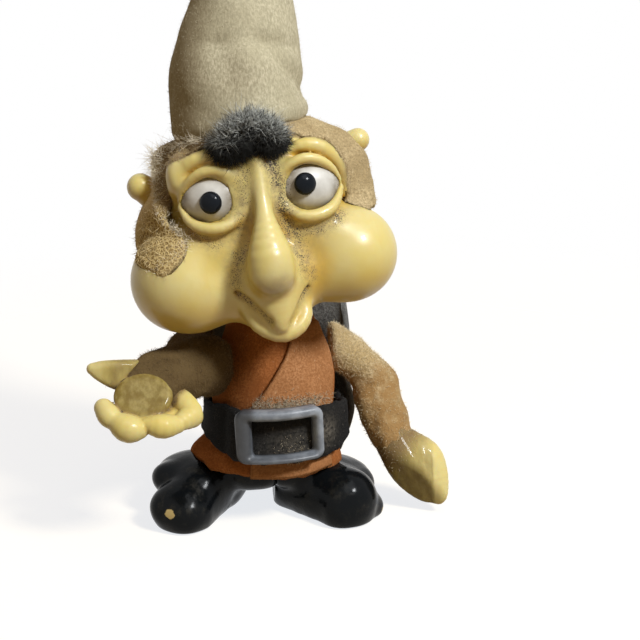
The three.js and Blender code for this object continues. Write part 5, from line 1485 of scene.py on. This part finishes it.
HANDS = {
    "right": (right_hand, (-28.5, -26, 15.5), (-9, -11.5, 30), right_stains_and_shade),
    "left": (left_hand, (13, -13, -0.8), (28, 0, 14), left_stains_and_shade),
}
for name, (hand, low, high, stains_and_shade) in HANDS.items():
    wrist, line = forearm(name)
    hand = carve(0.2, hand, past(wrist + 0.1 * line, -line))
    points, faces = skin_of(hand, low, high, 0.26)
    olive, flock = stains_and_shade(points)
    # Painted shade: the hand's creases are marked for deeper colour, for a smudge and for part of the grime
    cavity = cavity_of(hand, points, 0.8)
    masks = {"cavity": cavity, "grime": np.clip(0.9 * cavity + 0.4 * flock, 0, 1),
             "smudge": 0.8 * cavity ** 2, "olive": olive, "flock": flock}
    piece(f"{name}_hand_cast", from_body(points), faces, hand_plastic.material, f"{name}_arm",
          [f"{name}_hand"], masks)
    spread = pile_look(f"{name}_cuff_pile", FLOCK[name][4], FLOCK[name][3])
    pile(f"{name}_cuff_pile", from_body(points), faces, 700, 0.4, tuple(0.6 * line), spread, f"{name}_arm",
         "sleeve_flock", 0.06, 0.6, lambda p: stains_and_shade(p - BODY_PLACE)[1])


# Neck spring: a wire wound about an axis that bends to the head's tilt, made in two halves
def tube(line, radius, sides=10):
    ahead = np.gradient(line, axis=0)
    ahead /= size(ahead)[:, None]
    side = np.cross(ahead, vec(0, 0, 1))
    side /= size(side)[:, None]
    lift = np.cross(side, ahead)
    turn = 2 * np.pi * np.arange(sides) / sides
    ring = np.cos(turn)[None, :, None] * side[:, None] + np.sin(turn)[None, :, None] * lift[:, None]
    points = (line[:, None] + radius * ring).reshape(-1, 3)
    faces = []
    for i in range(len(line) - 1):
        for k in range(sides):
            a, b = i * sides + k, i * sides + (k + 1) % sides
            faces.append((a, b, b + sides, a + sides))
    last = (len(line) - 1) * sides
    faces.append(tuple(range(sides))[::-1])
    faces.append(tuple(range(last, last + sides)))
    return points, faces


def steel_look():
    look = Look("spring_steel", Metallic=1.0, Roughness=0.3)
    rust = look.ramp(look.grain(0.9, 4.0), 0.55, 0.75)
    look.set(Base_Color=look.blend(rust, (0.42, 0.42, 0.41), (0.20, 0.13, 0.08)),
             Roughness=look.ramp(rust, 0, 1, 0.28, 0.6))
    look.bump(look.grain(0.3), 0.01)
    return look


SPRING_R = 2.4
SPRING_WIRE = 0.62
SPRING_HALF = 5.0
SPRING_TURNS = 6
spring_steel = steel_look()
spring_top = HEAD_TURN @ vec(0, 0, SPRING_HALF)


def spring_line(share):
    low = vec(0, 0, -SPRING_HALF)
    span = 0.03 + 0.94 * share
    axis = ((1 - span) ** 2)[:, None] * low + (span ** 2)[:, None] * spring_top
    ahead = -2 * (1 - span)[:, None] * low + 2 * span[:, None] * spring_top
    ahead /= size(ahead)[:, None]
    right = np.cross(vec(0, 1, 0), ahead)
    right /= size(right)[:, None]
    front = np.cross(ahead, right)
    turn = (2 * np.pi * SPRING_TURNS * share)[:, None]
    wind = SPRING_R - SPRING_WIRE / 2
    return axis + wind * (np.cos(turn) * right + np.sin(turn) * front) + NECK_PLACE


for name, start, end, bodies in (("lower", 0, 0.5, ("figure", "spring")),
                                 ("upper", 0.5, 1, ("spring", "neck_mount"))):
    points, faces = tube(spring_line(np.linspace(start, end, 97)), SPRING_WIRE / 2)
    half = piece(f"neck_spring_{name}", from_body(points), faces, spring_steel.material, None,
                 ["neck_spring"])
    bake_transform(half)


# Pieces of the frame that show as they are: the trunk, the neck's plug and the bush in the head
def moulded_look(name, dark, light, roughness):
    look = Look(name, Roughness=roughness, Coat_Weight=0.1)
    look.set(Base_Color=look.blend(look.ramp(look.grain(3.0, 4.0), 0.35, 0.7), dark, light))
    look.bump(look.grain(0.7, 3.0), 0.02)
    return look.material


body_plastic = moulded_look("body_plastic", (0.50, 0.37, 0.14), (0.60, 0.47, 0.20), 0.45)
bush_plastic = moulded_look("bush_plastic", (0.56, 0.53, 0.44), (0.64, 0.61, 0.52), 0.5)
for node, look in (("torso_core", body_plastic), ("neck_plug", bush_plastic), ("spring_cup", bush_plastic)):
    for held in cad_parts[node].material_slots:
        held.material = look


# Camera at the photograph's place
CAMERA_TARGET = vec(7.386, 5.713, 28)
CAMERA_AZIMUTH = math.radians(-6)
CAMERA_RISE = math.radians(16)
CAMERA_FAR = 210
PHOTO_SIDE = 640
FOCAL_PIXELS = 1417
SENSOR = 36
camera_back = vec(math.sin(CAMERA_AZIMUTH) * math.cos(CAMERA_RISE),
                  -math.cos(CAMERA_AZIMUTH) * math.cos(CAMERA_RISE), math.sin(CAMERA_RISE))
camera_data = bpy.data.cameras.new("camera")
camera_data.sensor_width = SENSOR
camera_data.lens = FOCAL_PIXELS * SENSOR / PHOTO_SIDE
camera_data.clip_start = 0.01
camera = bpy.data.objects.new("camera", camera_data)
camera.location = (CAMERA_TARGET + CAMERA_FAR * camera_back) * MM
aim = mathutils.Vector(-camera_back)
camera.rotation_euler = aim.to_track_quat("-Z", "Y").to_euler()
bpy.context.collection.objects.link(camera)
bpy.context.scene.camera = camera
bpy.context.scene.view_settings.view_transform = "Standard"


# Floor, pale world and soft lamps
def lamp(name, place, target, energy, wide, colour=(1, 1, 1)):
    data = bpy.data.lights.new(name, "AREA")
    data.energy = energy
    data.size = wide
    data.color = colour
    made = bpy.data.objects.new(name, data)
    made.location = place
    made.rotation_euler = (mathutils.Vector(target) - made.location).to_track_quat("-Z", "Y").to_euler()
    bpy.context.collection.objects.link(made)


FIGURE_HEART = (0, 0, 0.04)
lamp("key", (0.32, -0.38, 0.50), FIGURE_HEART, 4.9, 0.12, (0.96, 0.98, 1.0))
lamp("fill", (-0.40, -0.40, 0.22), FIGURE_HEART, 0.10, 0.5, (1, 0.74, 0.40))
lamp("top", (0.10, -0.24, 0.60), FIGURE_HEART, 1.1, 0.4, (0.95, 0.98, 1.0))


# How much of a ray was sent by the camera, or came by a mirror or through glass
def seen_directly(nodes, links):
    path = nodes.new("ShaderNodeLightPath")
    total = path.outputs["Is Camera Ray"]
    for title in ("Is Glossy Ray", "Is Transmission Ray"):
        larger = nodes.new("ShaderNodeMath")
        larger.operation = "MAXIMUM"
        links.new(total, larger.inputs[0])
        links.new(path.outputs[title], larger.inputs[1])
        total = larger.outputs[0]
    return total


AMBIENT = (0.18, 0.116, 0.05)
world = bpy.data.worlds.new("studio")
bpy.context.scene.world = world
world.use_nodes = True
nodes, links = world.node_tree.nodes, world.node_tree.links
ambient = nodes.new("ShaderNodeMix")
ambient.data_type = "RGBA"
ambient.inputs["A"].default_value = (*AMBIENT, 1)
ambient.inputs["B"].default_value = (1, 1, 1, 1)
links.new(seen_directly(nodes, links), ambient.inputs["Factor"])
links.new(ambient.outputs["Result"], nodes["Background"].inputs["Color"])

# The floor takes the shadow near the figure and fades into the pale world further out
FLOOR_HALF = 400
FLOOR_Z = -0.05
GLARE = 0.82
floor_look = Look("floor", Roughness=0.9, Specular_IOR_Level=0.1)
floor_look.set(Base_Color=floor_look.blend(floor_look.grain(40), (0.30, 0.25, 0.17), (0.32, 0.27, 0.19)))
glare = floor_look.add("Emission", Color=(0.93, 0.96, 1))
seen = seen_directly(floor_look.tree.nodes, floor_look.tree.links)
floor_look.feed(glare.inputs["Strength"], floor_look.times(seen, GLARE))
lit = floor_look.add("AddShader")
floor_look.tree.links.new(floor_look.shader.outputs[0], lit.inputs[0])
floor_look.tree.links.new(glare.outputs[0], lit.inputs[1])
far = floor_look.add("VectorMath", operation="LENGTH")
floor_look.feed(far.inputs[0], floor_look.place)
mix = floor_look.add("MixShader")
floor_look.feed(mix.inputs[0], floor_look.ramp(far.outputs["Value"], 0.06, 0.2))
floor_look.tree.links.new(lit.outputs[0], mix.inputs[1])
floor_look.tree.links.new(floor_look.add("BsdfTransparent").outputs[0], mix.inputs[2])
floor_look.tree.links.new(mix.outputs[0], floor_look.tree.nodes["Material Output"].inputs["Surface"])
corners = [(x * FLOOR_HALF, y * FLOOR_HALF, FLOOR_Z) for x, y in ((-1, -1), (1, -1), (1, 1), (-1, 1))]
piece("floor", corners, [(0, 1, 2, 3)], floor_look.material, None)
